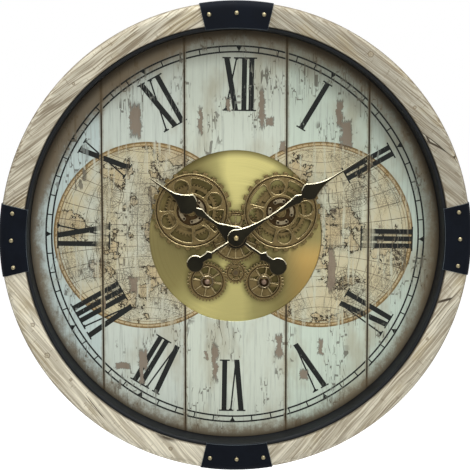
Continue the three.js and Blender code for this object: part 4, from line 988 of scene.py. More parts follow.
def brass_plate_material():
    """Spun brass: fine rings, a brushed sheen, and painted light: highlights above and below the middle,
    a warm reflection to the lower right and shade round the gears and along the top edge.
    """
    tree = Surface("spun_brass")
    place = tree.millimetres()
    x, _, z = tree.split(place)
    radius = tree.distance(x, z)
    angle = tree.math("ARCTAN2", z, x)
    rings = tree.noise(tree.combine(radius * 1.7, angle * 0.6), 1.0, detail=3.0, roughness=0.7)
    cloud = tree.noise(place, 0.016, detail=3.0)
    brass = bpy.context.scene.clock_finishes.brass
    # Painted highlights: the colour is brightest in wedges above and below the middle and darker towards
    # the sides.
    sideways = abs(tree.math("COSINE", angle + math.radians(11)))
    tone = tree.ramp(sideways + (cloud - 0.5) * 0.3, [
        (0.26, brass),
        (0.42, scaled(brass, 0.60)),
        (0.66, linear(136, 126, 80)),
        (0.95, linear(118, 108, 70)),
    ])
    # Painted reflection: a warm patch to the lower right.
    painted_reflection = tree.step(x, 56.0, 94.0) * tree.step(z, 0.0, -34.0)
    # Painted shadow of the dial board along the plate's top edge.
    upper = radius + tree.step(z, 0.0, 110.0, 12.0)
    # Painted shade: dark halos round the axes of the gears.
    darkening = 0.0
    for (across, up), clean, dull, share in (
        (LEFT_AXIS, 60.0, 36.0, 0.74), (RIGHT_AXIS, 58.0, 26.0, 0.62), (CENTRE_AXIS, 46.0, 30.0, 0.5),
        (PINION_AXIS, 20.0, 10.0, 0.7), (LOWER_LEFT_AXIS, 34.0, 19.0, 0.78),
        (LOWER_RIGHT_AXIS, 34.0, 19.0, 0.78),
    ):
        away = tree.distance(x - across, z - up)
        darkening = tree.most(darkening, tree.step(away, clean, dull, share))
    tone = tree.coats(
        tone,
        (painted_reflection * 0.6, linear(186, 146, 80)),
        # Darker towards the bottom.
        (tree.step(z, 20.0, -100.0, 0.24), linear(148, 136, 84)),
        (tree.step(rings, 0.35, 0.65, 0.22), scaled(brass, 0.45)),
        (tree.step(upper, 113.0, 126.0, 0.8), linear(74, 64, 34)),
        (darkening, linear(72, 60, 34)),
    )
    return tree.dressed(
        Base_Color=tone,
        Metallic=1.0,
        Roughness=tree.ease(rings, 0.3, 0.7, 0.28, 0.38),
        Anisotropic=0.85,
        Tangent=tree.put("ShaderNodeTangent", direction_type="RADIAL", axis="Y"),
        Normal=tree.bump(rings, 0.02, 0.5),
    )


def hardboard_material():
    """Brown hardboard with fibres and faint clouds."""
    tree = Surface("hardboard")
    place = tree.millimetres()
    board = bpy.context.scene.clock_finishes.board_back
    fibre = tree.noise(place, (0.9, 0.0, 0.35), detail=5.0, roughness=0.7)
    cloud = tree.noise(place, 0.012, detail=3.0)
    tone = tree.mix(tree.step(fibre, 0.35, 0.68), scaled(board, 0.7), scaled(board, 1.35))
    return tree.dressed(
        Base_Color=tree.mix(tree.step(cloud, 0.4, 0.65, 0.4), tone, scaled(board, 0.6)),
        Roughness=0.82,
        Specular_IOR_Level=0.2,
        Normal=tree.bump(fibre, 0.15, 0.6),
    )


def around_tree(name, make_item):
    """Geometry Nodes tree that repeats one item on a circle about the clock's axis.

    Items come in groups: each group is turned on from the last by the group turn, and the items
    of a group are spread evenly about its middle by the item turn.
    """
    group = bpy.data.node_groups.new(name, "GeometryNodeTree")
    inputs = {
        "Count": "Int", "In Group": "Int", "Radius": "Float", "Start": "Float", "Group Turn": "Float",
        "Item Turn": "Float", "Centre": "Vector", "Width": "Float", "Length": "Float",
        "Height": "Float", "Material": "Material",
    }
    for label, kind in inputs.items():
        group.interface.new_socket(label, in_out="INPUT", socket_type=f"NodeSocket{kind}")
    group.interface.new_socket("Geometry", in_out="OUTPUT", socket_type="NodeSocketGeometry")
    tree = Tree(group)
    given = tree.outputs("NodeGroupInput")
    index = tree.put("GeometryNodeInputIndex")
    number = tree.math("FLOOR", (index + 0.01) / given["In Group"])
    within = index - number * given["In Group"]
    middle = (given["In Group"] - 1.0) * 0.5
    angle = given["Start"] + number * given["Group Turn"] + (within - middle) * given["Item Turn"]
    across = tree.math("SINE", angle) * given["Radius"]
    up = tree.math("COSINE", angle) * given["Radius"]
    place = tree.vector("ADD", tree.combine(across, 0.0, up), given["Centre"])
    points = tree.put("GeometryNodePoints", {"Count": given["Count"], "Position": place})
    item = make_item(tree, given)
    placed = tree.put("GeometryNodeInstanceOnPoints", {
        "Points": points, "Instance": item, "Rotation": tree.combine(0.0, angle, 0.0),
    })
    real = tree.put("GeometryNodeRealizeInstances", {"Geometry": placed})
    dressed = tree.put("GeometryNodeSetMaterial", {"Geometry": real, "Material": given["Material"]})
    tree.feed(tree.add("NodeGroupOutput").inputs[0], dressed)
    return group


def block_item(tree, given):
    """Small block: width across, length outwards and height to the front."""
    size = tree.combine(given["Width"], given["Height"], given["Length"])
    return tree.put("GeometryNodeMeshCube", {"Size": size})


def wedge_item(tree, given):
    """Three-sided wedge that points at the middle of the circle."""
    prism = tree.put("GeometryNodeMeshCylinder", {
        "Vertices": 3, "Radius": given["Width"], "Depth": given["Height"],
    })
    return tree.put("GeometryNodeTransform", {
        "Geometry": prism, "Rotation": (QUARTER, QUARTER, 0.0),
    })


def dome_item(tree, given):
    """Domed head with a flat seat."""
    ball = tree.put("GeometryNodeMeshUVSphere", {"Segments": 20, "Rings": 12, "Radius": 1.0})
    x, y, z = tree.split(tree.put("GeometryNodeInputPosition"))
    out = tree.most(z, 0.0) * given["Height"]
    place = tree.combine(x * given["Width"], out * -1.0, y * given["Width"])
    return tree.put("GeometryNodeSetPosition", {"Geometry": ball, "Position": place})


def screw_item(tree, given):
    """Low round screw head with a sloping edge."""
    head = tree.put("GeometryNodeMeshCone", {
        "Vertices": 16, "Radius Bottom": given["Width"], "Radius Top": given["Width"] * 0.72,
        "Depth": given["Height"],
    })
    return tree.put("GeometryNodeTransform", {"Geometry": head, "Rotation": (QUARTER, 0.0, 0.0)})


def repeated(name, tree, material, **values):
    """Plain mesh grown by a Geometry Nodes tree from its named inputs."""
    host = bpy.data.objects.new(name, bpy.data.meshes.new(name))
    bpy.context.scene.collection.objects.link(host)
    modifier = host.modifiers.new("Repeat", "NODES")
    modifier.node_group = tree
    values["Material"] = material
    for item in tree.interface.items_tree:
        key = item.name.replace(" ", "_")
        if item.in_out == "INPUT" and key in values:
            modifier[item.identifier] = values[key]
    piece = with_modifiers(host)
    piece.data.materials.clear()
    piece.data.materials.append(material)
    for polygon in piece.data.polygons:
        polygon.material_index = 0
        polygon.use_smooth = True
    piece.data.set_sharp_from_angle(angle=math.radians(38))
    return piece


def join_into(target, *others):
    """Joins other meshes into one object, keeping their materials."""
    work = bmesh.new()
    work.from_mesh(target.data)
    for other in others:
        slots = []
        for material in other.data.materials:
            if material.name not in target.data.materials:
                target.data.materials.append(material)
            slots.append(target.data.materials.find(material.name))
        before = len(work.faces)
        work.from_mesh(other.data)
        work.faces.ensure_lookup_table()
        for face in work.faces[before:]:
            face.material_index = slots[face.material_index] if slots else 0
        bpy.data.objects.remove(other)
    work.to_mesh(target.data)
    work.free()
    return target


def strap_angle(radius, sizes):
    """Half angle, in radians, that a strap covers at a radius."""
    inner, outer = (sizes.inner - sizes.lip_wall) / MM, sizes.outer / MM
    half_in, half_out = sizes.strap_inner_half / MM, sizes.strap_outer_half / MM
    slope = (half_out - half_in) / (outer - inner)
    angle = half_in / radius
    for _ in range(12):
        half = half_in + slope * (radius * math.cos(angle) - inner)
        angle = math.asin(half / radius)
    return angle


class CLOCK_OT_boards(bpy.types.Operator):
    """Four wooden boards of the ring, each with its own straight grain"""

    bl_idname = "clock.boards"
    bl_label = "Wooden ring"

    def execute(self, context):
        sizes = context.scene.clock_ring
        inner, outer = sizes.inner / MM, sizes.outer / MM
        back, front = BOARD["back"], BOARD["front"]
        rounding = sizes.rounding / MM
        steps = 90
        flat = [inner + 1 + (outer - rounding - inner - 1) * i / 6 for i in range(7)]
        section = [(inner, back), (inner, 40.0), (inner, front - 1), (inner + 0.3, front - 0.3)]
        section += [(radius, front) for radius in flat]
        section += arc(rounding, 90, 0, 8, (outer - rounding, front - rounding))[1:]
        section += [(outer, 40.0), (outer, back)]
        for quarter, name in enumerate(("top_right", "top_left", "bottom_left", "bottom_right")):
            rows = []
            for step in range(steps + 1):
                row = []
                for radius, height in section:
                    gap = math.degrees(math.asin(sizes.joint_gap / MM / 2 / radius))
                    x, z = polar(radius, quarter * 90 + gap + (90 - 2 * gap) * step / steps)
                    rough = noise.noise(Vector((x * 0.09, z * 0.09, quarter * 7.0)))
                    if height > front - 4:
                        height -= sizes.waviness / MM * (0.5 + 0.5 * rough)
                    row.append((x, z, height))
                rows.append(row)
            shell = Shell()
            shell.sweep(rows)
            wood = wood_material(name, quarter + 1)
            piece = shell.finish(f"ring_board_{name}", [wood], 40, weld=False)
            fit(piece, "case", "wood", f"wood_board_{name}")
        return {"FINISHED"}


class CLOCK_OT_straps(bpy.types.Operator):
    """Four sheet straps over the joints of the ring, with their rivets"""

    bl_idname = "clock.straps"
    bl_label = "Straps and rivets"

    def execute(self, context):
        sizes = context.scene.clock_ring
        looks = context.scene.clock_finishes
        coat = painted_material("powder_coat", looks.strap, 0.62, 0.18, 1.6, 0.03, 0.06)
        rubbed = painted_material("rubbed_coat", looks.strap_edge, 0.5, 0.3, 0.4, 0.02)
        inner, outer = (sizes.inner - sizes.lip_wall) / MM, sizes.outer / MM
        thick, rounding = sizes.strap_thick / MM, sizes.rounding / MM
        play, steps = sizes.play / MM, 12
        under = BOARD["front"] + play
        over = under + thick
        seat = DRUM["front"] + 0.8
        corner = (outer - rounding, BOARD["front"] - rounding)
        section = [(inner, seat), (inner, over), (278.0, over)]
        section += arc(rounding + play + thick, 90, 0, 8, corner)
        section += [(outer + play + thick, BOARD["back"]), (outer + play, BOARD["back"])]
        section += arc(rounding + play, 0, 90, 8, corner)
        section += [(inner + thick, under), (inner + thick, seat)]
        section.reverse()
        for quarter, name in enumerate(("right", "top", "left", "bottom")):
            rows = []
            for step in range(steps + 1):
                row = []
                for radius, height in section:
                    half = math.degrees(strap_angle(radius, sizes))
                    x, z = polar(radius, quarter * 90 + half * (2 * step / steps - 1))
                    row.append((x, z, height))
                rows.append(row)
            shell = Shell()
            shell.sweep(rows)
            piece = shell.finish(f"ring_strap_{name}", [coat, rubbed], 30, weld=False)
            bevel = piece.modifiers.new("Edge", "BEVEL")
            bevel.width = 0.28 * MM
            bevel.segments = 2
            bevel.limit_method = "ANGLE"
            bevel.angle_limit = math.radians(50)
            bevel.material = 1
            with_modifiers(piece)
            fit(piece, "case", "strap_black", f"strap_{name}")
        domes = around_tree("rivet_heads", dome_item)
        metal = metal_material("rivet_plating", looks.rivet, scaled(looks.rivet, 0.35), 0.3, 0.45)
        heads = repeated(
            "ring_rivets", domes, metal, Count=12, In_Group=3, Radius=sizes.rivet_circle,
            Group_Turn=math.radians(90), Item_Turn=sizes.rivet_pitch,
            Centre=(0.0, -over * MM, 0.0), Width=sizes.rivet_radius, Height=sizes.rivet_height,
        )
        nodes = [f"rivet_{name}_{n}" for name in ("top", "right", "bottom", "left") for n in (1, 2, 3)]
        fit(heads, "case", "rivet_metal", *nodes)
        return {"FINISHED"}


class CLOCK_OT_drum(bpy.types.Operator):
    """Black drum that the ring's boards are fixed round"""

    bl_idname = "clock.drum"
    bl_label = "Drum"

    def execute(self, context):
        looks = context.scene.clock_finishes
        sizes = context.scene.clock_ring
        outer = (sizes.inner - sizes.play) / MM
        inner = outer - sizes.lip_wall / MM
        front, flange, flange_thick = DRUM["front"], DRUM["right"], 3.0
        section = [
            (inner, 0.0), (flange, 0.0), (flange, flange_thick), (outer, flange_thick),
            (outer, front - 0.6), (outer - 0.6, front), (inner + 1.8, front),
            (inner + 0.8, front - 0.35), (inner + 0.2, front - 1.0), (inner, front - 1.8), (inner, 40.0),
        ]
        shell = Shell()
        shell.lathe(section, 160)
        paint = painted_material("drum_paint", looks.drum, 0.5, 0.3, 0.5, 0.05, 0.2)
        fit(shell.finish("drum", [paint], 30), "case", "drum_black", "case_drum")
        return {"FINISHED"}


def plank_outlines(sizes):
    """Outlines of the planks, cut by the board's rim and by the window."""
    rim, window = sizes.radius / MM, sizes.window / MM
    half = sizes.groove_half / MM
    narrow, wide = PLANK_EDGES[2], PLANK_EDGES[3]

    def at(x, radius):
        return math.degrees(math.acos(x / radius))

    far = arc(rim, -at(wide + half, rim), at(wide + half, rim), 48)
    low, high = at(narrow + half, rim), at(wide - half, rim)
    bite = at(narrow + half, window)
    side = arc(rim, high, low, 24) + arc(window, bite, -bite, 48) + arc(rim, -low, -high, 24)
    top, bite = at(narrow - half, rim), at(narrow - half, window)
    middle = arc(rim, top, 180 - top, 32) + arc(window, 180 - bite, bite, 48)
    outlines = [far, side, middle, [(x, -z) for x, z in middle]]
    outlines += [[(-x, z) for x, z in loop] for loop in (far, side)]
    return outlines


def glyph_strokes(letters, sizes):
    """Stroke outlines of a Roman numeral that stands upright, each with its level."""
    foot, head = sizes.numeral_inner / MM, sizes.numeral_outer / MM
    thick, thin = sizes.thick_stroke / MM, sizes.thin_stroke / MM
    spacing = {"I": 9.4, "V": 23.0, "X": 24.6}
    across = -sum(spacing[letter] for letter in letters) / 2
    strokes = []

    def stroke(low, high, width, level):
        strokes.append(([(low - width / 2, foot), (low + width / 2, foot),
                         (high + width / 2, head), (high - width / 2, head)], level))

    def serif(middle, half, edge, level):
        sign = 1 if edge == foot else -1
        near, bracket = edge + sign * thin, edge + sign * (thin + 1.4)
        strokes.append(([(middle - half, edge), (middle + half, edge), (middle + half, near),
                         (middle + half * 0.55, near), (middle + half * 0.42, bracket),
                         (middle - half * 0.42, bracket), (middle - half * 0.55, near),
                         (middle - half, near)], level))

    for letter in letters:
        middle = across + spacing[letter] / 2
        across += spacing[letter]
        if letter == "I":
            stroke(middle, middle, thick, 0)
            serif(middle, 6.75, foot, 1)
            serif(middle, 6.75, head, 1)
        elif letter == "V":
            stroke(middle + 0.4, middle - 6.6, thick * 1.06, 0)
            stroke(middle + 1.2, middle + 7.4, thin * 1.1, 2)
            serif(middle - 6.6, 5.8, head, 1)
            serif(middle + 7.4, 4.0, head, 1)
        else:
            stroke(middle + 6.4, middle - 6.4, thick * 1.06, 0)
            stroke(middle - 6.8, middle + 6.8, thin * 1.1, 2)
            for side, half, edge in ((-6.4, 5.4, head), (6.8, 3.8, head), (6.4, 5.4, foot),
                                     (-6.8, 3.8, foot)):
                serif(middle + side, half, edge, 1)
    return strokes


class CLOCK_OT_dial(bpy.types.Operator):
    """Planked dial board with its worn print"""

    bl_idname = "clock.dial"
    bl_label = "Dial"

    def execute(self, context):
        sizes = context.scene.clock_dial
        group = dial_paint_group()
        board = dial_material(group, "worn_dial_paint", False)
        ink = dial_material(group, "worn_ink", True)
        front, back = DIAL["front"], DIAL["back"]
        floor = front - sizes.groove_depth / MM
        shell = Shell()
        rim = circle(sizes.radius / MM, 180)
        window = circle(sizes.window / MM, 144)
        shell.slab([rim, window], back, floor)
        for outline in plank_outlines(sizes):
            shell.slab([outline], floor - 0.2, front, bevel=0.35)
        fit(shell.finish("dial_planks", [board], 25), "case", "dial_face", "dial_board")
        level, sunk = sizes.ink_lift / MM, 0.05
        turned_by = math.degrees(sizes.print_turn)
        print_shell = Shell()
        numerals = ("XII", "I", "II", "III", "IV", "V", "VI", "VII", "VIII", "IX", "X", "XI")
        for hour, letters in enumerate(numerals):
            for outline, lift in glyph_strokes(letters, sizes):
                outline = turned(outline, -30 * hour - turned_by)
                print_shell.slab([outline], front - sunk, front + level * (1 + 0.15 * lift))
        line = sizes.track_line / MM
        for radius in (sizes.track_inner / MM, sizes.track_outer / MM):
            loops = [circle(radius + line / 2, 180), circle(radius - line / 2, 180)]
            print_shell.slab(loops, front - sunk, front + level)
        marks = print_shell.finish("dial_print", [ink], 25, weld=False)
        blocks = around_tree("minute_ticks", block_item)
        wedges = around_tree("hour_wedges", wedge_item)
        centre = (0.0, -(front + level * 0.6) * MM, 0.0)
        middle = (sizes.track_inner + sizes.track_outer) / 2
        shared = {"Start": sizes.print_turn, "Centre": centre, "Height": sizes.ink_lift, "In_Group": 1}
        ticks = repeated(
            "ticks", blocks, ink, Count=60, Radius=middle, Group_Turn=math.radians(6),
            Width=sizes.tick_width, Length=sizes.track_outer - sizes.track_inner, **shared,
        )
        points = repeated(
            "wedges", wedges, ink, Count=12, Radius=sizes.track_outer - 2.2 * MM,
            Group_Turn=math.radians(30), Width=sizes.wedge_radius, **shared,
        )
        fit(join_into(marks, ticks, points), "case", "dial_face")
        return {"FINISHED"}


class CLOCK_OT_plate(bpy.types.Operator):
    """Spun brass plate behind the gears"""

    bl_idname = "clock.plate"
    bl_label = "Brass plate"

    def execute(self, context):
        shell = Shell()
        low, high, radius = PLATE["back"], PLATE["front"], PLATE["right"]
        shell.lathe([(0.0, low), (radius, low), (radius, high), (60.0, high), (0.0, high)], 128)
        piece = shell.finish("brass_plate", [brass_plate_material()], 30)
        fit(piece, "case", "plate_brass", "gear_plate")
        return {"FINISHED"}


def gear_outline(teeth, module):
    """Outline with straight-sided teeth, one tooth centred on +X."""
    pitch_radius = module * teeth / 2
    tip, root = pitch_radius + module, pitch_radius - 1.25 * module
    half = math.pi * module / 4 - 0.15
    slope = math.tan(math.radians(20))
    tip_half = math.degrees((half - module * slope) / tip)
    root_half = math.degrees((half + 1.25 * module * slope) / root)
    return toothed(teeth, tip, root, tip_half, root_half)


def toothed(teeth, tip, root, tip_half, root_half):
    """Outline of teeth between two circles."""
    points = []
    for i in range(teeth):
        middle = 360 / teeth * i
        points += [polar(root, middle - root_half), polar(tip, middle - tip_half),
                   polar(tip, middle + tip_half), polar(root, middle + root_half)]
    return points


class GearMaker:
    """Makes the fine gears with rubbed edges, a raised rim and a lower web."""

    low, high = 28.2, 31.2

    def __init__(self, context):
        self.sizes = context.scene.clock_gears
        looks = context.scene.clock_finishes
        dark = scaled(looks.bronze, 0.45)
        self.bronze = metal_material("antique_bronze", looks.bronze, dark, 0.42, 0.12, 0.25, 0.5)
        self.rubbed = metal_material("rubbed_bronze", looks.bronze_edge, looks.bronze, 0.45, 0.2)
        self.steel = metal_material("worn_steel", looks.steel, scaled(looks.steel, 0.4), 0.3, 0.3)
        # Dark metal: the hub discs' own tone, and painted shade on side walls, sunk rings and grooves.
        self.groove = metal_material("groove_tarnish", linear(64, 50, 32), linear(38, 30, 20), 0.6)

    def gear(self, spot, degrees, teeth, windows, hub, bore):
        """Toothed rim, spokes and hub ring; windows are (count, hub web, rim, half spoke angle)."""
        module = self.sizes.module / MM
        edge = self.sizes.edge / MM
        drop = self.sizes.web_drop / MM
        radius = module * teeth / 2
        count, hub_web, rim, half_spoke = windows
        shell = Shell()
        rim_inner = radius - rim
        loops = [turned(gear_outline(teeth, module), degrees, spot), circle(rim_inner, 72, spot)]
        shell.slab(loops, self.low, self.high, edge, 0, 1, 3)
        window = sector(hub + hub_web, rim_inner, 180 / count - half_spoke, 6)
        holes = [circle(bore, 32)]
        for i in range(count):
            holes.append(turned(window, 360 / count * i))
        loops = [turned(loop, degrees, spot) for loop in [circle(rim_inner + 0.6, 72), *holes]]
        shell.slab(loops, self.low + 0.1, self.high - drop, edge, 0, 1, 3)
        return shell

    def finish(self, shell, name, body, slot, *nodes):
        """Closes a gear and puts it on its body."""
        piece = shell.finish(name, [self.bronze, self.rubbed, self.steel, self.groove], 25)
        fit(piece, body, slot, *nodes)
        return piece

    def ring(self, shell, spot, inner, outer, low, high, bevel=0.3, slot=0, edge_slot=1, facets=56):
        """Raised ring with rubbed edges."""
        loops = [circle(outer, facets, spot), circle(inner, facets, spot)]
        shell.slab(loops, low, high, bevel, slot, edge_slot, 3)

    def rib(self, shell, spot, inner, outer, degrees, low, high):
        """Thin rubbed rib along a spoke."""
        bar = [(outer, -0.65), (outer, 0.65), (inner, 0.65), (inner, -0.65)]
        shell.slab([turned(bar, degrees, spot)], low, high, 0.25, 1, 1, 3)

    def groove_ring(self, shell, spot, inner, outer, high):
        """Groove round a gear, drawn as painted shade: a thin dark ring that lies just on its face."""
        loops = [circle(outer, 96, spot), circle(inner, 96, spot)]
        shell.slab(loops, high - 0.2, high + 0.03, 0.0, 3)


class CLOCK_OT_gears(bpy.types.Operator):
    """Fine gears of the train"""

    bl_idname = "clock.gears"
    bl_label = "Fine gears"

    def execute(self, context):
        maker = GearMaker(context)
        sizes = context.scene.clock_gears
        high = maker.high
        shell = maker.gear(CENTRE_AXIS, 0, sizes.centre_teeth, (8, 3, 6, 5), 15.0, 7.8)
        maker.ring(shell, CENTRE_AXIS, 11.0, 15.0, maker.low + 0.2, high + 1.5, 0.5)
        maker.ring(shell, CENTRE_AXIS, 28.4, 29.6, high - 0.2, high + 0.4, 0.35)
        for i in range(16):
            maker.rib(shell, CENTRE_AXIS, 14.8, 28.6, 22.5 * i, maker.low + 0.6, high - 0.3)
        maker.groove_ring(shell, CENTRE_AXIS, 29.7, 31.0, high)
        maker.finish(shell, "centre_gear_dressed", "centre", "aged_bronze", "centre_gear")
        for name, spot, degrees in (("left", LEFT_AXIS, 114.25), ("right", RIGHT_AXIS, 234.25)):
            shell = maker.gear(spot, degrees, sizes.drive_teeth, (6, 4, 6, 6), 8.0, 3.3)
            maker.ring(shell, spot, 3.3, 8.0, maker.low, 33.2, 0.3)
            maker.finish(shell, f"{name}_drive_dressed", name, "aged_bronze", f"{name}_drive_gear")
        shell = Shell()
        pinion = turned(gear_outline(sizes.pinion_teeth, sizes.module / MM), 9, PINION_AXIS)
        holes = [turned(circle(1.3, 14, polar(7.0, 60 * i)), 9, PINION_AXIS) for i in range(6)]
        shell.slab([pinion, circle(2.3, 20, PINION_AXIS), *holes], maker.low, high, 0.3, 0, 1)
        maker.ring(shell, PINION_AXIS, 2.3, 4.6, high - 0.2, high + 0.5, 0.3)
        maker.ring(shell, PINION_AXIS, 9.2, 10.2, high - 0.2, high + 0.3, 0.25)
        maker.groove_ring(shell, PINION_AXIS, 10.3, 11.3, high)
        maker.groove_ring(shell, PINION_AXIS, 4.7, 5.6, high)
        maker.finish(shell, "drive_pinion_dressed", "pinion", "aged_bronze", "drive_pinion")
        lower = (("lower_left", LOWER_LEFT_AXIS, 237.222), ("lower_right", LOWER_RIGHT_AXIS, 101.222))
        for name, spot, degrees in lower:
            shell = maker.gear(spot, degrees, sizes.lower_teeth, (8, 1.5, 5.5, 6), 9.0, 3.3)
            maker.ring(shell, spot, 6.2, 8.4, maker.low + 0.2, high + 2.8, 1.0, 2, 2)
            maker.ring(shell, spot, 3.3, 6.3, maker.low + 0.2, high - 1.0, 0.0, 3, 3)
            maker.ring(shell, spot, 19.0, 20.0, high - 1.0, high + 0.4, 0.4)
            for i in range(8):
                maker.rib(shell, spot, 8.2, 19.2, degrees + 45 * i + 22.5, high - 1.2, high + 0.1)
            maker.groove_ring(shell, spot, 20.1, 21.6, high)
            maker.finish(shell, f"{name}_dressed", name, "aged_bronze", f"{name}_gear")
        return {"FINISHED"}


AXLE_FOOT = (
    (0.0, 19.5), (4.0, 19.5), (4.0, 23.9), (3.0, 23.9), (3.0, 26.0), (6.0, 26.0), (6.0, 27.9),
    (3.0, 27.9),
)
AXLE_CAP = ((3.0, 37.8), (5.4, 37.8), (5.4, 38.9), (4.9, 39.5), (3.4, 40.3), (0.0, 40.4))
PIN_HEAD = ((3.0, 31.5), (3.6, 31.5), (3.6, 32.9), (3.2, 33.6), (2.3, 34.1), (0.0, 34.1))


class CLOCK_OT_wheels(bpy.types.Operator):
    """Two large wheels with their hub plates"""

    bl_idname = "clock.wheels"
    bl_label = "Large wheels"

    def execute(self, context):
        maker = GearMaker(context)
        sizes = context.scene.clock_gears
        tip = sizes.wheel_tip / MM
        pitch = 360 / sizes.wheel_teeth
        edge = sizes.wheel_edge / MM
        low, teeth_face, link_top, front = 33.5, 36.1, 37.0, 37.5
        face = front - 0.6
        screws = around_tree("hub_screws", screw_item)
        screw_steel = metal_material("dark_steel", linear(44, 36, 27), linear(22, 18, 14), 0.45)
        for name, spot, degrees in (("left", LEFT_AXIS, 114), ("right", RIGHT_AXIS, 98)):

            def put(loop, more=0.0):
                return turned(loop, degrees + more, spot)

            shell = Shell()
            outline = toothed(sizes.wheel_teeth, tip, tip - 4.6, pitch * 0.23, pitch * 0.29)
            shell.slab([put(outline), put(circle(44.0, 72))], low, teeth_face, 0.5, 0, 0, 3)
            maker.groove_ring(shell, spot, 45.2, 46.7, teeth_face)
            holes = [circle(19.5, 64)]
            for i in range(4):
                holes.append(circle(9.2, 40, polar(32.5, 90 * i)))
                holes.append(turned(soft_sector(22.8, 41.6, 21.5, 2.6), 45 + 90 * i))
            loops = [put(loop) for loop in [circle(45.3, 96), *holes]]
            shell.slab(loops, low + 0.1, face, edge, 0, 1, 3)
            lip = (soft_sector(21.2, 43.0, 23.7, 3.6), soft_sector(22.4, 42.0, 22.3, 2.8))
            for i in range(4):
                middle = put([polar(32.5, 90 * i)])[0]
                maker.ring(shell, middle, 9.6, 11.0, face - 0.2, front + 0.2, 0.6)
                loops = [put(loop, 45 + 90 * i) for loop in lip]
                shell.slab(loops, face - 0.2, front + 0.2, 0.6, 0, 1, 3)
            maker.ring(shell, spot, 46.6, 48.4, low + 0.2, front + 0.2, 0.8, facets=96)
            maker.ring(shell, spot, 19.5, 22.9, low + 0.2, front, 0.5, facets=64)
            maker.ring(shell, spot, 3.3, 19.8, low, 35.1, 0.0, facets=64)
            maker.ring(shell, spot, 3.3, 7.0, low + 0.2, front, 0.4, facets=40)
            maker.finish(shell, f"{name}_wheel_dressed", name, "aged_brass", f"{name}_wheel")
            plate = Shell()
            plate.slab([circle(19.2, 64, spot), circle(7.3, 40, spot)], 35.4, 36.2, 0.2, 2)
            link = soft_sector(11.4, 17.3, 33.0, 2.4)
            for i in range(4):
                plate.slab([put(link, 90 * i)], 36.0, link_top, 0.7, 1, 1, 2)
            hub = plate.finish(f"{name}_hub_dressed", [maker.bronze, maker.steel, maker.groove], 25)
            heads = repeated(
                f"{name}_screws", screws, screw_steel, Count=8, In_Group=2, Radius=14.35 * MM,
                Start=math.radians(90 - degrees), Group_Turn=math.radians(90),
                Item_Turn=math.radians(45), Width=1.55 * MM, Height=0.5 * MM,
                Centre=(spot[0] * MM, -link_top * MM, spot[1] * MM),
            )
            fit(join_into(hub, heads), name, "steel", f"{name}_hub_plate")
            cap = Shell()
            cap.lathe(AXLE_FOOT + AXLE_CAP, 40, spot)
            piece = cap.finish(f"{name}_axle_dressed", [maker.bronze], 35)
            fit(piece, "case", "steel", f"{name}_axle")
        for name, spot in (("lower_left", LOWER_LEFT_AXIS), ("lower_right", LOWER_RIGHT_AXIS)):
            pin = Shell()
            pin.lathe(AXLE_FOOT + PIN_HEAD, 36, spot)
            tone = metal_material(f"{name}_pin_steel", linear(132, 112, 96), linear(80, 66, 54), 0.45)
            fit(pin.finish(f"{name}_pin", [tone], 35), "case", "steel", f"{name}_axle")
        return {"FINISHED"}


MINUTE_SHAPE = SimpleNamespace(
    tip=205.0, tip_half=0.6, needle_start=148.0, needle_half=1.4, leaf_at=114.0,
    leaf_half=11.7, notch_at=101.5, notch_half=3.2, collar_at=94.5, collar_half=6.4,
    waist_at=50.0, waist_half=1.7, hub=11.5, stem_half=1.9, knot_at=41.0,
    knot_half=6.2, neck_half=4.4, ball_at=62.8, ball=11.2,
)
HOUR_SHAPE = SimpleNamespace(
    tip=137.0, tip_half=0.6, needle_start=109.0, needle_half=1.7, leaf_at=78.0,
    leaf_half=14.8, notch_at=64.0, notch_half=3.6, collar_at=57.0, collar_half=5.9,
    waist_at=34.0, waist_half=2.5, hub=15.0, stem_half=2.1, knot_at=43.0,
    knot_half=7.4, neck_half=4.6, ball_at=66.7, ball=11.7,
)


def soft_sector(inner, outer, half_angle, corner):
    """Fan-shaped window centred on +X with rounded corners."""
    far = math.degrees(corner / outer)
    near = math.degrees(corner / inner)

    def half(sign):
        return (
            curve_through(polar(outer, sign * (half_angle - far)), polar(outer, sign * half_angle),
                          polar(outer - corner, sign * half_angle), 4)
            + curve_through(polar(inner + corner, sign * half_angle), polar(inner, sign * half_angle),
                            polar(inner, sign * (half_angle - near)), 4)
        )

    outside = arc(outer, far - half_angle, half_angle - far, 10)[1:-1]
    inside = arc(inner, half_angle - near, near - half_angle, 6)[1:-1]
    return outside + half(1) + inside + half(-1)[::-1]


def curve_through(start, control, end, steps=8):
    """Points of a quadratic curve, both ends included."""
    points = []
    for step in range(steps + 1):
        t = step / steps
        points.append(tuple(
            (1 - t) ** 2 * a + 2 * t * (1 - t) * b + t * t * c
            for a, b, c in zip(start, control, end)
        ))
    return points


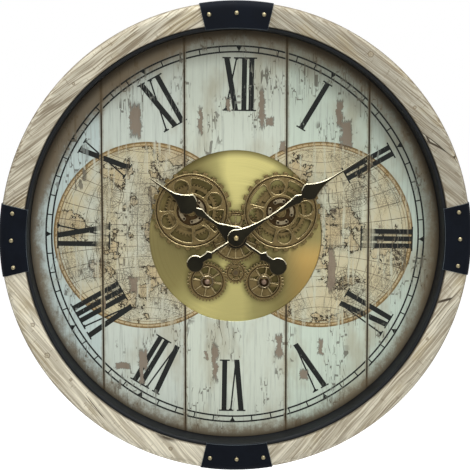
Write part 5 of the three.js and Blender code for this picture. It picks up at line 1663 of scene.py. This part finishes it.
def hand_outline(hand):
    """Outline of a spade hand that points up."""
    tip, needle = hand.tip, hand.needle_start
    hub = hand.hub
    stem = math.degrees(hand.stem_half / hub)
    neck = math.degrees(hand.neck_half / hand.ball)
    right = [(hand.tip_half, tip), (hand.needle_half, needle)]
    right += curve_through(
        (hand.needle_half * 1.2, needle - 4),
        (hand.needle_half * 1.5, 0.45 * needle + 0.55 * hand.leaf_at),
        (hand.leaf_half, hand.leaf_at),
    )
    right += curve_through(
        (hand.leaf_half * 0.97, hand.leaf_at - 2),
        (hand.leaf_half * 0.8, hand.notch_at + 3),
        (hand.notch_half, hand.notch_at),
    )
    right.append((hand.collar_half, hand.collar_at))
    right += curve_through(
        (hand.collar_half * 0.9, hand.collar_at - 2),
        (hand.waist_half, (hand.collar_at + hand.waist_at) / 2),
        (hand.waist_half, hand.waist_at),
    )
    right += curve_through(
        (hand.waist_half * 1.1, hand.waist_at - 4),
        (hand.waist_half * 2, hub * 1.7),
        polar(hub, 40),
    )
    right += arc(hub, 25, -90 + stem, 14)
    knot_at, knot_half = hand.knot_at, hand.knot_half
    right += [
        (hand.stem_half, knot_half * 0.6 - knot_at), (knot_half, -knot_at),
        (hand.neck_half, -knot_at - knot_half * 0.6),
    ]
    right += arc(hand.ball, 90 - neck, -78, 20, (0.0, -hand.ball_at))
    return right + [(-x, z) for x, z in reversed(right)]


def bevelled_top(outline, width):
    """Outline moved in by the bevel, held back where the hand is too narrow for it."""
    top = []
    for (x, _), (inner_x, inner_z) in zip(outline, inset(outline, width)):
        least = 0.35 * abs(x)
        if inner_x * x < least * abs(x):
            inner_x = math.copysign(least, x)
        top.append((inner_x, inner_z))
    return top


def lit_from_above(start, end):
    """Slot 1, a painted highlight, for an edge that faces up and slot 2, painted shade, for any other.
    """
    run = math.hypot(end[0] - start[0], end[1] - start[1])
    return 1 if start[0] - end[0] > 0.2 * run else 2


class CLOCK_OT_hands(bpy.types.Operator):
    """Two spade hands with bevels painted bright where they face up and dark elsewhere, and the nut that
    holds them
    """

    bl_idname = "clock.hands"
    bl_label = "Hands"

    def execute(self, context):
        sizes = context.scene.clock_hands
        looks = context.scene.clock_finishes
        paint = painted_material("hand_paint", looks.hand, 0.5, 0.3, 0.5, 0.03, 0.06)
        # Lit and shaded copies of the bevel metal: the upward bevels are painted bright, on top of the
        # real gleam of the strip lamp, and the others get a darker copy as painted shade.
        clean, worn = scaled(looks.hand_edge, 0.8), scaled(looks.hand_edge, 0.6)
        bright = metal_material("hand_bevel", clean, worn, 0.4)
        painted_shade_bevel = metal_material("hand_bevel_below", linear(112, 98, 74), linear(74, 64, 48), 0.45)
        brass = metal_material("cap_nut_brass", linear(176, 160, 118), looks.bronze, 0.3, 0.3)
        thick, edge = sizes.thick / MM, sizes.edge / MM
        collet = 6.0
        for name, shape, low, angle, bore in (
            ("hour", HOUR_SHAPE, 43.5, sizes.hour_angle, 2.9),
            ("minute", MINUTE_SHAPE, 48.0, sizes.minute_angle, 2.1),
        ):
            shell = Shell()
            degrees = -math.degrees(angle)
            outline = hand_outline(shape)[::-1]
            tops = [turned(bevelled_top(outline, edge), degrees), circle(bore, 24)]
            outline = turned(outline, degrees)
            loops = [outline, circle(bore, 24)]
            shell.slab(loops, low, low + thick, edge, 0, lit_from_above, 0, tops)
            shell.slab([circle(collet, 36), circle(bore, 24)], low - 1.8, low + 0.2)
            piece = shell.finish(f"{name}_hand_dressed", [paint, bright, painted_shade_bevel], 25)
            fit(piece, name, "hand_black", f"{name}_hand")
        nut = Shell()
        base = low + thick + 0.3
        nut.lathe([
            (0.0, base + 2.5), (2.1, base + 2.5), (2.1, base), (3.4, base), (3.4, base + 2.0),
            (3.0, base + 2.8), (2.0, base + 3.4), (0.0, base + 3.6),
        ], 32)
        fit(nut.finish("cap_nut", [brass], 35), "minute", "rivet_metal", "minute_cap_nut")
        return {"FINISHED"}


class CLOCK_OT_works(bpy.types.Operator):
    """Nut, movement, motor, batteries and back, which keep their solids' shapes"""

    bl_idname = "clock.works"
    bl_label = "Works and back"

    def execute(self, context):
        looks = context.scene.clock_finishes
        steel = metal_material("plated_steel", looks.steel, scaled(looks.steel, 0.45), 0.3, 0.3)
        worn = metal_material("worn_screw_steel", linear(92, 80, 60), linear(52, 44, 34), 0.4, 0.5)
        plastic = painted_material("moulded_plastic", looks.plastic, 0.5, 0.12, 1.4, 0.03, 0.35)
        finishes = {
            "drum_black": painted_material("inner_paint", looks.drum, 0.6),
            "panel_board": hardboard_material(),
            "black_plastic": plastic,
            "steel": steel,
            "rivet_metal": steel,
            "cell_wrap": painted_material("cell_sleeve", linear(168, 96, 44), 0.4, 0.1),
        }
        for part in frame["record"]["subparts"]:
            node = frame["nodes"][part["node"]]
            if node.hide_render:
                continue
            finish = finishes.get(part["material_slot"])
            if part["node"].startswith(("hanger_screw", "motor_shaft")):
                finish = worn
            if finish is None:
                raise RuntimeError(f"{part['node']} has no finish")
            node.data.materials.clear()
            node.data.materials.append(finish)
        return {"FINISHED"}


class CLOCK_OT_stage(bpy.types.Operator):
    """Floor, lamps, room light and camera"""

    bl_idname = "clock.stage"
    bl_label = "Stage"

    def execute(self, context):
        sizes = context.scene.clock_stage
        scene = context.scene
        scene.view_settings.view_transform = "Standard"
        world = bpy.data.worlds.new("studio")
        scene.world = world
        world.use_nodes = True
        tree = Tree(world.node_tree)
        room = world.node_tree.nodes["Background"]
        tree.feed(room.inputs["Color"], (1.0, 1.0, 1.0))
        path = tree.outputs("ShaderNodeLightPath")
        rays = [path[f"Is {kind} Ray"] for kind in ("Camera", "Transmission", "Glossy")]
        tree.feed(room.inputs["Strength"], tree.most(*rays, sizes.ambient))
        floor = Shell()
        floor.lathe([(0.0, 0.0), (6000.0, 0.0), (6000.0, 20.0), (0.0, 20.0)], 48)
        ground = floor.finish("floor", [floor_material()], 30)
        ground.data.transform(upright(sizes.floor_level))
        lamps = (
            ("key", (0.5, -2.7, 1.35), (1.0, 1.0), sizes.key_power),
            ("strip", (-0.1, -0.4, 1.7), (3.2, 0.5), sizes.strip_power),
            ("back_fill", (0.5, 2.6, 1.2), (2.4, 2.4), sizes.key_power * 0.7),
        )
        for name, place, size, power in lamps:
            light = bpy.data.lights.new(name, "AREA")
            light.energy = power
            light.shape = "RECTANGLE"
            light.size, light.size_y = size
            lamp = bpy.data.objects.new(name, light)
            lamp.location = place
            lamp.rotation_euler = towards(-Vector(place))
            scene.collection.objects.link(lamp)
        eye = bpy.data.cameras.new("camera")
        eye.lens = sizes.lens
        camera = bpy.data.objects.new("camera", eye)
        target = Vector((0.0, -BOARD["front"] * MM, 0.0))
        level = math.cos(sizes.elevation)
        side, ahead = math.sin(sizes.azimuth) * level, -math.cos(sizes.azimuth) * level
        away = Vector((side, ahead, math.sin(sizes.elevation)))
        camera.location = target + away * sizes.distance
        aim = target + Vector((-sizes.aim_left, 0.0, sizes.aim_up)) - camera.location
        camera.rotation_euler = towards(aim)
        scene.collection.objects.link(camera)
        scene.camera = camera
        return {"FINISHED"}


def towards(direction):
    """Rotation of a lamp or camera that looks in a direction."""
    return direction.to_track_quat("-Z", "Y").to_euler()


def upright(level):
    """Transform that lays a disc made against the wall down on the floor."""
    lowered = Matrix.Translation((0.0, 0.0, level))
    return lowered @ Matrix.Rotation(math.radians(90), 4, "X")


def floor_material():
    """Pale matt floor."""
    tree = Surface("pale_floor")
    cloud = tree.noise(tree.millimetres(), 0.002, detail=1.0)
    return tree.dressed(
        Base_Color=tree.mix(tree.step(cloud, 0.3, 0.7), (0.82, 0.82, 0.82), (0.84, 0.84, 0.84)),
        Roughness=0.9,
        Emission_Color=(1.0, 1.0, 1.0),
        Emission_Strength=tree.outputs("ShaderNodeLightPath")["Is Camera Ray"] * 0.6,
    )


class CLOCK_PT_panel(bpy.types.Panel):
    """Lists the clock's sizes, finishes and operators."""

    bl_label = "Gear Wall Clock"
    bl_idname = "CLOCK_PT_panel"
    bl_space_type = "VIEW_3D"
    bl_region_type = "UI"
    bl_category = "Clock"

    def draw(self, context):
        layout = self.layout
        for operator in OPERATORS:
            layout.operator(operator.bl_idname)
        for attribute, group in GROUPS.items():
            box = layout.box()
            box.label(text=group.__doc__.rstrip("."))
            settings = getattr(context.scene, attribute)
            for name in group.__annotations__:
                box.prop(settings, name)


GROUPS = {
    "clock_ring": RingSizes,
    "clock_dial": DialSizes,
    "clock_gears": GearSizes,
    "clock_hands": HandSizes,
    "clock_finishes": Finishes,
    "clock_stage": StageSettings,
}
OPERATORS = (
    CLOCK_OT_boards, CLOCK_OT_straps, CLOCK_OT_drum, CLOCK_OT_dial, CLOCK_OT_plate, CLOCK_OT_gears,
    CLOCK_OT_wheels, CLOCK_OT_hands, CLOCK_OT_works, CLOCK_OT_stage,
)


def register():
    """Registers the classes and hangs the settings on the scene."""
    for kind in (*GROUPS.values(), *OPERATORS, CLOCK_PT_panel):
        bpy.utils.register_class(kind)
    for attribute, group in GROUPS.items():
        setattr(bpy.types.Scene, attribute, PointerProperty(type=group))


def unregister():
    """Takes the settings and classes away again."""
    for attribute in GROUPS:
        delattr(bpy.types.Scene, attribute)
    for kind in reversed((*GROUPS.values(), *OPERATORS, CLOCK_PT_panel)):
        bpy.utils.unregister_class(kind)


def main():
    """Makes every piece and the stage."""
    register()
    for operator in OPERATORS:
        group, name = operator.bl_idname.split(".")
        getattr(getattr(bpy.ops, group), name)()


if __name__ == "__main__":
    main()
